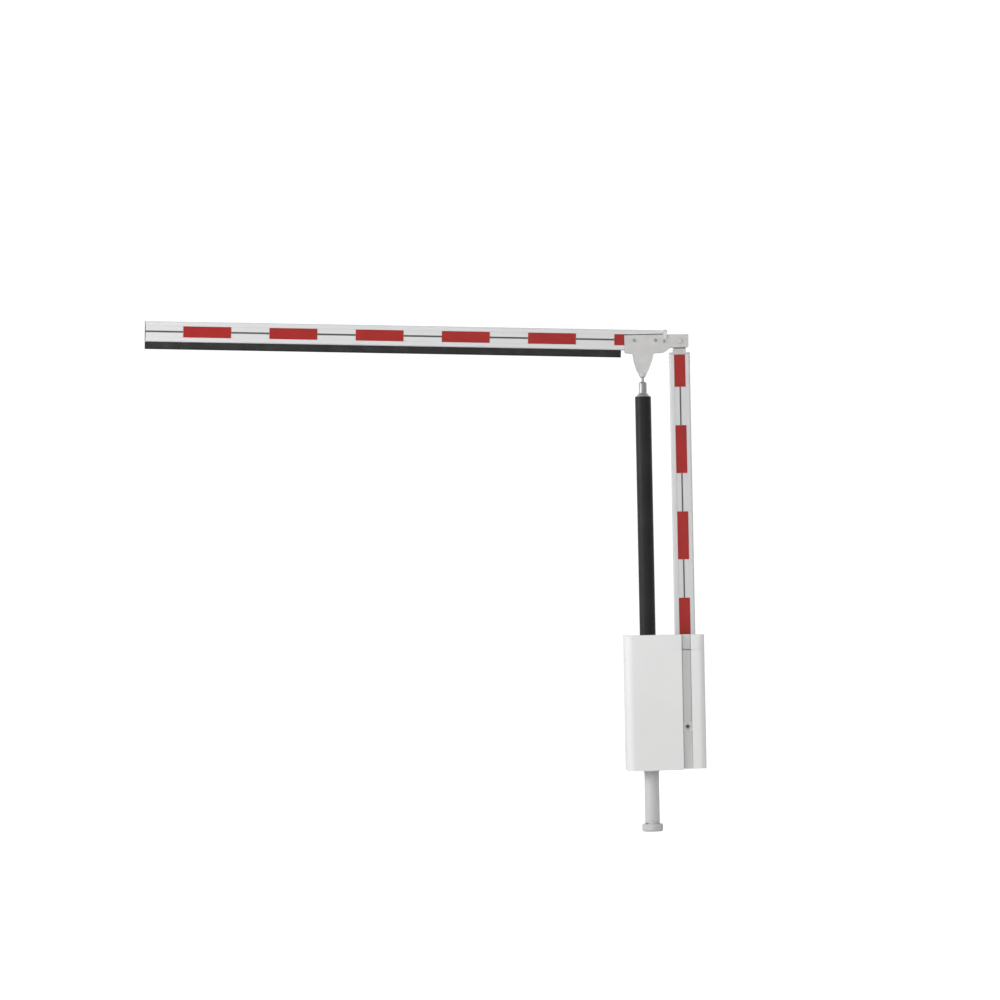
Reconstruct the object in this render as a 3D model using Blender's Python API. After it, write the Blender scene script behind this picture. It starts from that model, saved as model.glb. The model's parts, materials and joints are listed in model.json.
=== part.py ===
"""Articulated parking barrier gate on a round mast, boom raised.

Metres, +Z up. The origin is the centre of the foot's underside, on the mast's axis. +X points from the mast
towards the boom hub, so the boom reaches out to -X, and -Y is the side of the cabinet door.
"""

import math

import bmesh
import bpy
from mathutils import Matrix, Vector

# Driving dimensions
GAP = 0.0003
FOOT_RADIUS = 0.052
FOOT_HEIGHT = 0.038
FOOT_EDGE_RADIUS = 0.010
FOOT_BOLT_CIRCLE = 0.044
FOOT_BOLT_HOLE = 0.0045
MAST_RADIUS = 0.0365
MAST_BORE = 0.0325
MAST_BOTTOM = 0.012
MAST_TOP = 0.930

CABINET_LEFT = -0.126
CABINET_RIGHT = 0.270
CABINET_FRONT = -0.150
CABINET_BACK = 0.150
CABINET_BOTTOM = 0.306
CABINET_TOP = 0.976
FRAME_BOTTOM = CABINET_BOTTOM + 0.006
SKIN = 0.003
LEFT_CORNER_RADIUS = 0.045
RIGHT_CORNER_RADIUS = 0.030
GROOVE_LEFT = 0.157
GROOVE_RIGHT = 0.204
GROOVE_DEPTH = 0.022
HEAD_JOINT_Z = 0.902
HINGE_Y = -0.070
HINGE_X = CABINET_LEFT - 0.0005
HINGE_RADIUS = 0.004
HINGE_HALF_LENGTH = 0.025
HINGE_PIN_RADIUS = 0.0017
HINGE_BORE_RADIUS = 0.0021
HINGE_BOTTOMS = {"lower": 0.400, "upper": 0.850}
LOCK_X = 0.180
LOCK_Z = 0.521

HUB_X = 0.187
HUB_Z = 0.843
ELBOW_Z = 2.448
LINK_TOP_Z = 2.281
TUBE_INSET = 0.109
BOOM_Y = 0.205
BOOM_WIDTH = 0.103
BOOM_DEPTH = 0.045
BOOM_WALL = 0.0025
BOOM_TILT = math.radians(2.15)
RECESS_WIDTH = 0.057
RECESS_DEPTH = 0.0015
SLOT_WIDTH = 0.005
SLOT_DEPTH = 0.0015
OUTER_TIP = -2.683
OUTER_HEEL = -0.078
INNER_TOP = 2.380
INNER_BOTTOM = 0.770
STRIPE_WIDTH = 0.055
STRIPE_LENGTH = 0.240
STRIPE_PITCH = 0.4328
STRIPE_THICKNESS = 0.0011
RUBBER_WIDTH = 0.030
RUBBER_HEIGHT = 0.036
RUBBER_HEEL = -0.291
BRACKET_THICKNESS = 0.005

SHAFT_RADIUS = 0.020
GEAR_MODULE = 0.0025
GEAR_TEETH = 60
PINION_TEETH = 15
PRESSURE_ANGLE = math.radians(20)
GEAR_FRONT = 0.090
GEAR_WIDTH = 0.014
CHASSIS_FRONT = 0.052
CHASSIS_THICKNESS = 0.006
CLAMP_FRONT = -0.0595

LINK_BOTTOM_Z = LINK_TOP_Z - (ELBOW_Z - HUB_Z)
GEAR_CENTRES = GEAR_MODULE * (GEAR_TEETH + PINION_TEETH) / 2
PINION_Z = HUB_Z - GEAR_CENTRES
BOOM_FRONT = BOOM_Y - BOOM_DEPTH / 2
BOOM_BACK = BOOM_Y + BOOM_DEPTH / 2
GROOVE_FLOOR_Y = CABINET_FRONT + GROOVE_DEPTH

AXES = {"X": (0, 1, 2), "Y": (1, 0, 2), "Z": (2, 0, 1)}


def clear_scene():
    for old in list(bpy.data.objects):
        bpy.data.objects.remove(old, do_unlink=True)


def material(name, colour, roughness, metallic):
    made = bpy.data.materials.new(name)
    made.use_nodes = True
    shader = made.node_tree.nodes["Principled BSDF"]
    shader.inputs["Base Color"].default_value = (*colour, 1)
    shader.inputs["Roughness"].default_value = roughness
    shader.inputs["Metallic"].default_value = metallic
    made.diffuse_color = (*colour, 1)
    return made


def along(axis, distance, first, second):
    """A point from its distance along an axis and its two other coordinates, in X, Y, Z order."""
    point = [0.0, 0.0, 0.0]
    for index, value in zip(AXES[axis], (distance, first, second)):
        point[index] = value
    return Vector(point)


# Outlines: lists of (first, second) coordinates in the plane across the extrusion


def arc(centre, radius, start, end, steps):
    """Points on a circle, with both ends, for angles in degrees."""
    turn = [math.radians(start + (end - start) * step / steps) for step in range(steps + 1)]
    return [(centre[0] + radius * math.cos(a), centre[1] + radius * math.sin(a)) for a in turn]


def filleted(corners, steps=5):
    """A closed outline from (x, y, radius) corners, with each corner rounded by its radius."""
    outline = []
    for index, (x, y, radius) in enumerate(corners):
        here = Vector((x, y))
        if not radius:
            outline.append((x, y))
            continue
        before = (Vector(corners[index - 1][:2]) - here).normalized()
        after = (Vector(corners[(index + 1) % len(corners)][:2]) - here).normalized()
        half = before.angle(after) / 2
        centre = here + (before + after).normalized() * radius / math.sin(half)
        reach = radius / math.tan(half)
        start = here + before * reach - centre
        end = here + after * reach - centre
        turn = math.atan2(start.x * end.y - start.y * end.x, start.dot(end))
        for step in range(steps + 1):
            point = Matrix.Rotation(turn * step / steps, 2) @ start + centre
            outline.append((point.x, point.y))
    return outline


def ribbon(path, thickness):
    """The closed outline of a sheet of this thickness bent along the middle line of a path."""
    points = [Vector(point) for point in path]
    left, right = [], []
    for index, point in enumerate(points):
        steps = []
        if index:
            steps.append((point - points[index - 1]).normalized())
        if index < len(points) - 1:
            steps.append((points[index + 1] - point).normalized())
        normals = [Vector((-step.y, step.x)) for step in steps]
        normal = sum(normals, Vector((0, 0))).normalized()
        offset = normal * thickness / 2 / normal.dot(normals[0])
        left.append(tuple(point + offset))
        right.append(tuple(point - offset))
    return left + right[::-1]


def circle(centre, radius, segments):
    return arc(centre, radius, 0, 360 * (1 - 1 / segments), segments - 1)


def boom_outline():
    """The boom section: rounded edges, and on both faces a shallow recess with a narrow slot in it."""
    half, depth, edge = BOOM_WIDTH / 2, BOOM_DEPTH / 2, 0.008
    recess, slot = RECESS_WIDTH / 2, SLOT_WIDTH / 2
    corner = arc((half - edge, depth - edge), edge, 0, 90, 6)
    face = [
        (recess, depth),
        (recess, depth - RECESS_DEPTH),
        (slot, depth - RECESS_DEPTH),
        (slot, depth - RECESS_DEPTH - SLOT_DEPTH),
    ]
    quarter = corner + face
    upper = quarter + [(-x, y) for x, y in quarter[::-1]]
    return upper + [(-x, -y) for x, y in upper]


def rounded_rectangle(low, high, radius, steps=4):
    corners = [(low[0], low[1]), (high[0], low[1]), (high[0], high[1]), (low[0], high[1])]
    return filleted([(*corner, radius) for corner in corners], steps)


def boom_bore():
    """The hollow of the boom section. It is narrower than the slot walls leave."""
    half = BOOM_WIDTH / 2 - BOOM_WALL
    depth = BOOM_DEPTH / 2 - BOOM_WALL - RECESS_DEPTH - SLOT_DEPTH
    return rounded_rectangle((-half, -depth), (half, depth), 0.005, 3)


def gear_outline(teeth, first_tooth):
    """Involute spur teeth with short tips and a little backlash. first_tooth is an angle in degrees."""
    pitch = GEAR_MODULE * teeth / 2
    base = pitch * math.cos(PRESSURE_ANGLE)
    root = pitch - 1.3 * GEAR_MODULE
    tip = pitch + 0.9 * GEAR_MODULE
    backlash = 0.0003
    half_at_pitch = math.pi / (2 * teeth) - backlash / (2 * pitch)

    def half_angle(radius):
        pressure = math.acos(min(1, base / radius))
        involute = math.tan(pressure) - pressure
        return half_at_pitch + math.tan(PRESSURE_ANGLE) - PRESSURE_ANGLE - involute

    start = max(root, base)
    flank = [start + (tip - start) * step / 2 for step in range(3)]
    side = [(root, half_angle(start))] * (root < base) + [(radius, half_angle(radius)) for radius in flank]
    outline = []
    for tooth in range(teeth):
        middle = math.radians(first_tooth) + 2 * math.pi * tooth / teeth
        around = [(radius, middle - half) for radius, half in side]
        around += [(radius, middle + half) for radius, half in side[::-1]]
        outline += [(radius * math.cos(a), radius * math.sin(a)) for radius, a in around]
    return outline


# Solids: each function gives a new object


def finished(name, bm, paint=None, parent=None, smooth=35):
    """An object from a bmesh in world coordinates, or in its parent's when it has one."""
    bmesh.ops.recalc_face_normals(bm, faces=bm.faces)
    mesh = bpy.data.meshes.new(name)
    bm.to_mesh(mesh)
    bm.free()
    mesh.shade_smooth()
    mesh.set_sharp_from_angle(angle=math.radians(smooth))
    made = bpy.data.objects.new(name, mesh)
    bpy.context.scene.collection.objects.link(made)
    if paint:
        mesh.materials.append(paint)
    if parent:
        made.parent = parent
    return made


def prism(name, outline, axis, low, high, paint=None, parent=None):
    """An outline extruded along an axis, from low to high."""
    bm = bmesh.new()
    ends = [[bm.verts.new(along(axis, end, *point)) for point in outline] for end in (low, high)]
    bm.faces.new(ends[0])
    bm.faces.new(ends[1])
    for index in range(len(outline)):
        bm.faces.new((ends[0][index - 1], ends[0][index], ends[1][index], ends[1][index - 1]))
    return finished(name, bm, paint, parent)


def box(name, low, high, paint=None, parent=None):
    corners = [(low[0], low[1]), (high[0], low[1]), (high[0], high[1]), (low[0], high[1])]
    return prism(name, corners, "Z", low[2], high[2], paint, parent)


def turned(name, profile, axis, centre, paint=None, parent=None, segments=32):
    """A profile of (radius, distance) points turned about an axis through centre. Radius 0 is on the axis."""
    bm = bmesh.new()
    rings = []
    for radius, distance in profile:
        if not radius:
            rings.append([bm.verts.new(along(axis, distance, *centre))])
            continue
        ring = [along(axis, distance, *point) for point in circle(centre, radius, segments)]
        rings.append([bm.verts.new(point) for point in ring])
    for first, second in zip(rings, rings[1:]):
        for index in range(segments):
            around = ((first, index - 1), (first, index), (second, index), (second, index - 1))
            corners = [ring[place] for ring, place in around if len(ring) > 1]
            corners += [ring[0] for ring in (first, second) if len(ring) == 1]
            bm.faces.new(corners)
    if len(rings[0]) > 1:
        bm.faces.new(rings[0])
    if len(rings[-1]) > 1:
        bm.faces.new(rings[-1])
    return finished(name, bm, paint, parent)


def pipe(name, outer, inner, axis, centre, low, high, paint=None, parent=None, segments=32):
    """A round tube, open at both ends."""
    bm = bmesh.new()
    rings = []
    for radius, end in ((outer, low), (outer, high), (inner, high), (inner, low)):
        ring = [along(axis, end, *point) for point in circle(centre, radius, segments)]
        rings.append([bm.verts.new(point) for point in ring])
    for first, second in zip(rings, rings[1:] + rings[:1]):
        for index in range(segments):
            bm.faces.new((first[index - 1], first[index], second[index], second[index - 1]))
    return finished(name, bm, paint, parent)


def combine(target, tool, operation):
    """Cuts or joins with a helper object, which stays as a hidden guide."""
    tool.hide_render = True
    tool.display_type = "WIRE"
    tool.parent = target.parent
    change = target.modifiers.new(tool.name, "BOOLEAN")
    change.operation = operation
    change.object = tool
    change.solver = "EXACT"
    return target


def cut(target, tool):
    return combine(target, tool, "DIFFERENCE")


def join(target, tool):
    return combine(target, tool, "UNION")


def drill(target, axis, centre, radius, low, high, segments=24):
    """A round hole along an axis."""
    name = f"{target.name}_hole_{len(target.modifiers)}"
    return cut(target, prism(name, circle(centre, radius, segments), axis, low, high))


def pivot(name, location, tilt=0):
    """An empty on a joint's axis. tilt turns it about +Y."""
    made = bpy.data.objects.new(name, None)
    made.location = location
    made.rotation_euler = (0, tilt, 0)
    made.empty_display_size = 0.05
    bpy.context.scene.collection.objects.link(made)
    return made


def adopt(parent, *pieces):
    """Puts pieces made in world coordinates under a pivot, with each origin on the pivot's axis."""
    shift = Matrix.Translation(-parent.location)
    for piece in pieces:
        helpers = [change.object for change in piece.modifiers if change.type == "BOOLEAN"]
        for made in [piece, *helpers]:
            made.data.transform(shift)
            made.parent = parent
    return pieces


# Materials

clear_scene()
WHITE_COAT = material("white_powder_coat", (0.68, 0.68, 0.68), 0.45, 0.0)
GREY_COAT = material("grey_powder_coat", (0.50, 0.50, 0.50), 0.45, 0.0)
BOOM_WHITE = material("boom_white", (0.76, 0.76, 0.77), 0.40, 0.0)
REFLECTOR_RED = material("reflector_red", (0.37, 0.035, 0.03), 0.35, 0.0)
BLACK_RUBBER = material("black_rubber", (0.03, 0.03, 0.03), 0.75, 0.0)
BLACK_COAT = material("black_coat", (0.033, 0.033, 0.034), 0.60, 0.0)
STEEL = material("zinc_steel", (0.55, 0.55, 0.56), 0.35, 1.0)
BRIGHT_STEEL = material("bright_steel", (0.68, 0.68, 0.69), 0.22, 1.0)
CAST = material("cast_aluminium", (0.52, 0.50, 0.49), 0.50, 0.6)
LIGHT_CAST = material("light_cast", (0.62, 0.61, 0.60), 0.45, 0.3)
MOTOR_GREY = material("motor_grey", (0.16, 0.18, 0.20), 0.50, 0.3)
DARK_PLASTIC = material("dark_plastic", (0.05, 0.05, 0.055), 0.50, 0.0)
LIGHT_PLASTIC = material("light_plastic", (0.60, 0.60, 0.58), 0.50, 0.0)


# Base: foot, mast and cabinet


def foot():
    edge = FOOT_EDGE_RADIUS
    rounding = arc((FOOT_RADIUS - edge, edge), edge, -90, 0, 4)
    socket = MAST_RADIUS + GAP
    profile = [(0, 0), *rounding, (FOOT_RADIUS, FOOT_HEIGHT - 0.002), (FOOT_RADIUS - 0.002, FOOT_HEIGHT)]
    profile += [(socket, FOOT_HEIGHT), (socket, MAST_BOTTOM - GAP), (0, MAST_BOTTOM - GAP)]
    flange = turned("foot_flange", profile, "Z", (0, 0), GREY_COAT, segments=36)
    for index in range(4):
        angle = math.radians(45 + 90 * index)
        centre = (FOOT_BOLT_CIRCLE * math.cos(angle), FOOT_BOLT_CIRCLE * math.sin(angle))
        drill(flange, "Z", centre, FOOT_BOLT_HOLE, -0.01, FOOT_HEIGHT + 0.01, 20)


def mast():
    pipe("mast", MAST_RADIUS, MAST_BORE, "Z", (0, 0), MAST_BOTTOM, MAST_TOP, GREY_COAT, segments=36)
    low, high = CABINET_BOTTOM - 0.009, FRAME_BOTTOM
    pipe("mast_collar", 0.0415, MAST_RADIUS + GAP, "Z", (0, 0), low, high, LIGHT_PLASTIC, segments=36)
    rim, bore, top = MAST_RADIUS, MAST_BORE - 0.0005, MAST_TOP + 0.005
    cap = [(0, top), (rim - 0.002, top), (rim, top - 0.002), (rim, MAST_TOP + GAP)]
    cap += [(bore, MAST_TOP + GAP), (bore, MAST_TOP - 0.015), (0, MAST_TOP - 0.015)]
    turned("mast_cap", cap, "Z", (0, 0), DARK_PLASTIC, segments=28)


def hinge_notch(target, y_low, y_high):
    """Room in a wall's edge for both halves of each hinge barrel."""
    for place, bottom in HINGE_BOTTOMS.items():
        low = (CABINET_LEFT - 0.001, y_low, bottom - 0.0005)
        high = (CABINET_LEFT + SKIN + 0.001, y_high, bottom + 2 * HINGE_HALF_LENGTH + 0.001)
        cut(target, box(f"{target.name}_{place}_notch", low, high))


def housing():
    """The back and both sides, bent from one sheet."""
    inset = SKIN / 2
    left, right, back = CABINET_LEFT + inset, CABINET_RIGHT - inset, CABINET_BACK - inset
    radius = RIGHT_CORNER_RADIUS - inset
    path = [(left, HINGE_Y + 0.0005)]
    path += arc((left + radius, back - radius), radius, 180, 90, 8)
    path += arc((right - radius, back - radius), radius, 90, 0, 8)
    path += [(right, -0.090)]
    shell = prism("housing", ribbon(path, SKIN), "Z", FRAME_BOTTOM, CABINET_TOP - 0.001, WHITE_COAT)
    hinge_notch(shell, HINGE_Y - 0.001, HINGE_Y + 0.0055)
    drill(shell, "Y", (HUB_X, HUB_Z), 0.034, 0.13, 0.17, 32)


def column_path():
    """The middle line of the groove floor, its right wall, the front strip and the rounded right corner."""
    inset = SKIN / 2
    right, front = CABINET_RIGHT - inset, CABINET_FRONT + inset
    radius = RIGHT_CORNER_RADIUS - inset
    path = [(GROOVE_LEFT + 0.002, GROOVE_FLOOR_Y), (GROOVE_RIGHT, GROOVE_FLOOR_Y), (GROOVE_RIGHT, front)]
    path += arc((right - radius, front + radius), radius, -90, 0, 10)
    return path + [(right, -0.0905)]


def columns():
    """The fixed front right of the cabinet, in a long lower piece and a short head."""
    outline = ribbon(column_path(), SKIN)
    lower = prism("side_column", outline, "Z", FRAME_BOTTOM, HEAD_JOINT_Z - 0.0015, WHITE_COAT)
    drill(lower, "Y", (LOCK_X, LOCK_Z), 0.0083, GROOVE_FLOOR_Y - 0.01, GROOVE_FLOOR_Y + 0.01)
    prism("column_head", outline, "Z", HEAD_JOINT_Z + 0.0015, CABINET_TOP, WHITE_COAT)


def plate_outline():
    """The cabinet's floor and lid, inside its walls, cut back behind the groove and the door's lip."""
    clear = SKIN + 0.0005
    left, right = CABINET_LEFT + clear, CABINET_RIGHT - clear
    front, back = CABINET_FRONT + clear, CABINET_BACK - clear
    behind = GROOVE_FLOOR_Y + 0.0045
    return filleted(
        [
            (left, front, LEFT_CORNER_RADIUS - clear),
            (GROOVE_LEFT - 0.019, front, 0),
            (GROOVE_LEFT - 0.019, behind, 0),
            (GROOVE_RIGHT + 0.002, behind, 0),
            (GROOVE_RIGHT + 0.002, front, 0),
            (right, front, RIGHT_CORNER_RADIUS - clear),
            (right, back, RIGHT_CORNER_RADIUS - clear),
            (left, back, RIGHT_CORNER_RADIUS - clear),
        ],
        8,
    )


def floor_and_lid():
    outline = plate_outline()
    prism("top_lid", outline, "Z", CABINET_TOP - 0.009, CABINET_TOP - 0.003, WHITE_COAT)
    floor = prism("bottom_plate", outline, "Z", FRAME_BOTTOM + 0.001, FRAME_BOTTOM + 0.007, WHITE_COAT)
    drill(floor, "Z", (0, 0), MAST_RADIUS + 0.005, CABINET_BOTTOM, CABINET_BOTTOM + 0.02, 36)


def door():
    """The wrap-round door, with a return and a lip along its free edge."""
    inset = SKIN / 2
    left, front = CABINET_LEFT + inset, CABINET_FRONT + inset
    radius = LEFT_CORNER_RADIUS - inset
    edge, lip = GROOVE_LEFT - inset, GROOVE_FLOOR_Y - 0.0005
    path = [(left, HINGE_Y - 0.0005)]
    path += arc((left + radius, front + radius), radius, 180, 270, 10)
    path += [(edge, front), (edge, lip), (edge - 0.013, lip)]
    panel = prism("door_panel", ribbon(path, SKIN), "Z", CABINET_BOTTOM, CABINET_TOP, WHITE_COAT)
    hinge_notch(panel, HINGE_Y - 0.0055, HINGE_Y + 0.001)
    return panel


def hinge_half(name, bottom, side, with_pin):
    """Half of a lift-off hinge. side is +1 for the half on the housing and -1 for the half on the door."""
    top = bottom + HINGE_HALF_LENGTH
    centre = (HINGE_X, HINGE_Y)
    barrel = prism(name, circle(centre, HINGE_RADIUS, 20), "Z", bottom, top, STEEL)
    inner = CABINET_LEFT + SKIN + 0.0005
    arm = sorted((HINGE_Y, HINGE_Y + side * 0.0045))
    tab = sorted((HINGE_Y + side * 0.003, HINGE_Y + side * 0.024))
    join(barrel, box(f"{name}_arm", (HINGE_X, arm[0], bottom + 0.001), (inner + 0.002, arm[1], top - 0.001)))
    join(barrel, box(f"{name}_tab", (inner, tab[0], bottom + 0.002), (inner + 0.0021, tab[1], top - 0.002)))
    if with_pin:
        pin = circle(centre, HINGE_PIN_RADIUS, 16)
        return join(barrel, prism(f"{name}_pin", pin, "Z", top - 0.005, top + 0.8 * HINGE_HALF_LENGTH))
    return drill(barrel, "Z", centre, HINGE_BORE_RADIUS, bottom - 0.01, top + 0.01, 16)


def lock():
    """A quarter-turn lock in the groove floor. Its cam hangs down, and turns behind the door's lip."""
    centre = (LOCK_X, LOCK_Z)
    face = GROOVE_FLOOR_Y - SKIN / 2
    head = [(0, face - 0.004), (0.009, face - 0.004), (0.010, face - 0.003), (0.010, face - GAP)]
    barrel = [(0.008, face - GAP), (0.008, GROOVE_FLOOR_Y + 0.0045), (0, GROOVE_FLOOR_Y + 0.0045)]
    cylinder = turned("lock_cylinder", head + barrel, "Y", centre, BRIGHT_STEEL, segments=28)
    cam = rounded_rectangle((LOCK_X - 0.007, LOCK_Z - 0.037), (LOCK_X + 0.007, LOCK_Z + 0.007), 0.005)
    join(cylinder, prism("lock_cam", cam, "Y", GROOVE_FLOOR_Y + 0.0025, GROOVE_FLOOR_Y + 0.0055))
    low = (LOCK_X - 0.0012, face - 0.006, LOCK_Z - 0.004)
    high = (LOCK_X + 0.0012, face - 0.001, LOCK_Z + 0.004)
    return cut(cylinder, box("lock_keyway", low, high))


# Drive inside the cabinet


def chassis():
    low, high = CHASSIS_FRONT, CHASSIS_FRONT + CHASSIS_THICKNESS
    clear = SKIN + 0.0005
    outline = rounded_rectangle((CABINET_LEFT + clear, 0.360), (CABINET_RIGHT - clear, 0.945), 0.010, 3)
    plate = prism("chassis_plate", outline, "Y", low, high, STEEL)
    drill(plate, "Y", (HUB_X, HUB_Z), SHAFT_RADIUS + 0.002, low - 0.01, high + 0.01, 32)
    drill(plate, "Y", (HUB_X, PINION_Z), 0.012, low - 0.01, high + 0.01, 24)
    for place, middle in {"lower": 0.440, "upper": 0.680}.items():
        corners = (-0.052, CLAMP_FRONT, middle - 0.02), (0.052, low - GAP, middle + 0.02)
        block = box(f"mast_clamp_{place}", *corners, CAST)
        drill(block, "Z", (0, 0), MAST_RADIUS + GAP, middle - 0.03, middle + 0.03, 36)


def bearings():
    bore = SHAFT_RADIUS + GAP
    behind = CHASSIS_FRONT + CHASSIS_THICKNESS + GAP
    pipe("bearing_front", 0.044, bore, "Y", (HUB_X, HUB_Z), behind, behind + 0.016, CAST)
    wall = CABINET_BACK - SKIN - GAP
    pipe("bearing_rear", 0.050, bore, "Y", (HUB_X, HUB_Z), wall - 0.026, wall, CAST)


def gearmotor():
    """A right-angle gearbox on the chassis, with the motor hanging below it."""
    half, low, high = 0.055, PINION_Z - 0.052, PINION_Z + 0.048
    outline = rounded_rectangle((HUB_X - half, low), (HUB_X + half, high), 0.012)
    prism("gearbox", outline, "Y", -0.045, CHASSIS_FRONT - GAP, MOTOR_GREY)
    top = low - GAP
    profile = [(0, top), (0.048, top), (0.048, top - 0.012), (0.044, top - 0.014), (0.044, top - 0.120)]
    profile += [(0.047, top - 0.122), (0.047, top - 0.158), (0.040, top - 0.168), (0, top - 0.168)]
    turned("motor", profile, "Z", (HUB_X, 0.0035), MOTOR_GREY, segments=28)


def torsion_spring():
    """The balance spring, coiled round the shaft between the chassis and the limit cam."""
    wire, coil, turns, steps, sides = 0.0035, 0.030, 7, 16, 5
    first, pitch = -0.070, 0.0155
    bm = bmesh.new()
    rings = []
    for step in range(turns * steps + 1):
        angle = 2 * math.pi * step / steps
        out = Vector((math.cos(angle), 0, math.sin(angle)))
        middle = Vector((HUB_X, first + pitch * step / steps, HUB_Z)) + out * coil
        ring = [middle + out * wire * x + Vector((0, wire * y, 0)) for x, y in circle((0, 0), 1, sides)]
        rings.append([bm.verts.new(point) for point in ring])
    for before, after in zip(rings, rings[1:]):
        for index in range(sides):
            bm.faces.new((before[index - 1], before[index], after[index], after[index - 1]))
    bm.faces.new(rings[0])
    bm.faces.new(rings[-1])
    return finished("torsion_spring", bm, STEEL, smooth=70)


def controls():
    """Limit switch, control unit, power supply and terminal block."""
    low = HUB_Z - 0.012
    switch = box("limit_switch", (0.237, -0.102, low - 0.012), (0.256, -0.086, low + 0.036), DARK_PLASTIC)
    join(switch, box("limit_switch_arm", (0.248, -0.094, low), (0.260, CHASSIS_FRONT - GAP, low + 0.010)))
    case = rounded_rectangle((-0.090, 0.560), (0.090, 0.800), 0.008, 3)
    prism("control_unit", case, "Y", CLAMP_FRONT - 0.060, CLAMP_FRONT - GAP, LIGHT_PLASTIC)
    floor = FRAME_BOTTOM + 0.007 + GAP
    box("power_supply", (-0.098, -0.108, floor), (0.060, -0.050, floor + 0.058), STEEL)
    box("terminal_block", (0.100, 0.030, 0.400), (0.240, CHASSIS_FRONT - GAP, 0.428), DARK_PLASTIC)


# Boom hub and inner boom, which turn together


def hub_parts():
    """The main shaft with its flange, the drive gear, the limit cam and the boom holder."""
    radius, flange = SHAFT_RADIUS, 0.060
    back = CABINET_BACK + 0.006
    profile = [(0, -0.112), (radius - 0.002, -0.112), (radius, -0.110), (radius, back), (flange, back)]
    profile += [(flange, back + 0.014), (0, back + 0.014)]
    centre = (HUB_X, HUB_Z)
    shaft = turned("main_shaft", profile, "Y", centre, STEEL, segments=32)
    teeth = [(HUB_X + x, HUB_Z + z) for x, z in gear_outline(GEAR_TEETH, -90)]
    gear = prism("drive_gear", teeth, "Y", GEAR_FRONT, GEAR_FRONT + GEAR_WIDTH, STEEL)
    drill(gear, "Y", centre, radius + GAP, GEAR_FRONT - 0.01, GEAR_FRONT + GEAR_WIDTH + 0.01, 32)
    for index in range(4):
        turn = math.radians(90 * index)
        middle = (HUB_X + 0.046 * math.cos(turn), HUB_Z + 0.046 * math.sin(turn))
        drill(gear, "Y", middle, 0.015, GEAR_FRONT - 0.01, GEAR_FRONT + GEAR_WIDTH + 0.01, 16)
    lobe = arc(centre, 0.046, -20, 110, 10) + arc(centre, 0.036, 120, 330, 14)
    cam = prism("limit_cam", lobe, "Y", -0.100, -0.090, DARK_PLASTIC)
    drill(cam, "Y", centre, radius + GAP, -0.11, -0.08, 28)
    return shaft, gear, cam, boom_holder(back + 0.014 + GAP), boom_clamp()


def boom_holder(front):
    """A channel that takes the boom's lower end, open away from the cabinet."""
    half = BOOM_WIDTH / 2 + GAP
    wall, back = 0.006, BOOM_BACK - 0.004
    web = BOOM_FRONT - GAP
    outline = [(-half - wall, front), (half + wall, front), (half + wall, back), (half, back), (half, web)]
    outline += [(-half, web), (-half, back), (-half - wall, back)]
    outline = [(HUB_X + x, y) for x, y in outline]
    return prism("boom_holder", outline, "Z", INNER_BOTTOM - 0.004, 0.962, GREY_COAT)


def boom_clamp():
    """The plate that closes the boom holder behind the boom."""
    half = BOOM_WIDTH / 2 - 0.001
    outline = rounded_rectangle((HUB_X - half, 0.800), (HUB_X + half, 0.930), 0.008)
    return prism("boom_clamp", outline, "Y", BOOM_BACK + GAP, BOOM_BACK + 0.006, GREY_COAT)


def stripe_in(name, axis, low, high, middle, parent=None):
    """A red reflector lying in the boom's front recess."""
    face = BOOM_FRONT + RECESS_DEPTH - GAP
    half = STRIPE_WIDTH / 2
    first, second = (low, high), (middle - half, middle + half)
    if axis == "Z":
        first, second = second, first
    corners = [(first[0], second[0]), (first[1], second[0]), (first[1], second[1]), (first[0], second[1])]
    return prism(name, corners, "Y", face - STRIPE_THICKNESS, face, REFLECTOR_RED, parent)


def inner_boom():
    outline = [(HUB_X + x, BOOM_Y + y) for x, y in boom_outline()]
    bore = [(HUB_X + x, BOOM_Y + y) for x, y in boom_bore()]
    boom = prism("inner_boom", outline, "Z", INNER_BOTTOM, INNER_TOP, BOOM_WHITE)
    cut(boom, prism("inner_boom_bore", bore, "Z", INNER_BOTTOM - 0.1, INNER_TOP + 0.1))
    pieces = [boom, inner_boom_head()]
    first_top = ELBOW_Z + 0.009
    for index in range(4):
        top = first_top - index * STRIPE_PITCH
        low, high = top - STRIPE_LENGTH, min(top, INNER_TOP - 0.001)
        pieces.append(stripe_in(f"inner_stripe_{index + 1}", "Z", low, high, HUB_X))
    return pieces


def inner_boom_head():
    """The casting on the inner boom: a band, a plug down into the boom and a tongue up to the elbow."""
    half, depth, band_top = BOOM_WIDTH / 2, BOOM_DEPTH / 2 - 0.001, INNER_TOP + 0.010
    band = [(HUB_X + x, BOOM_Y + y) for x, y in rounded_rectangle((-half, -depth), (half, depth), 0.008)]
    head = prism("inner_boom_head", band, "Z", INNER_TOP + GAP, band_top, LIGHT_CAST)
    foot_z = band_top - 0.005
    tongue = arc((HUB_X, ELBOW_Z), 0.028, 0, 180, 14) + [(HUB_X - 0.034, foot_z), (HUB_X + 0.034, foot_z)]
    join(head, prism("head_tongue", tongue, "Y", BOOM_FRONT + 0.002, BOOM_BACK - 0.002))
    plug_half = BOOM_WIDTH / 2 - BOOM_WALL - 0.006
    plug_depth = BOOM_DEPTH / 2 - BOOM_WALL - RECESS_DEPTH - SLOT_DEPTH - 0.001
    low = (HUB_X - plug_half, BOOM_Y - plug_depth, INNER_TOP - 0.050)
    high = (HUB_X + plug_half, BOOM_Y + plug_depth, INNER_TOP + 0.010)
    join(head, box("head_plug", low, high))
    return drill(head, "Y", (HUB_X, ELBOW_Z), 0.0083, BOOM_FRONT - 0.01, BOOM_BACK + 0.01, 24)


# Outer boom, made level with the elbow as its origin, under a tilted pivot


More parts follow.
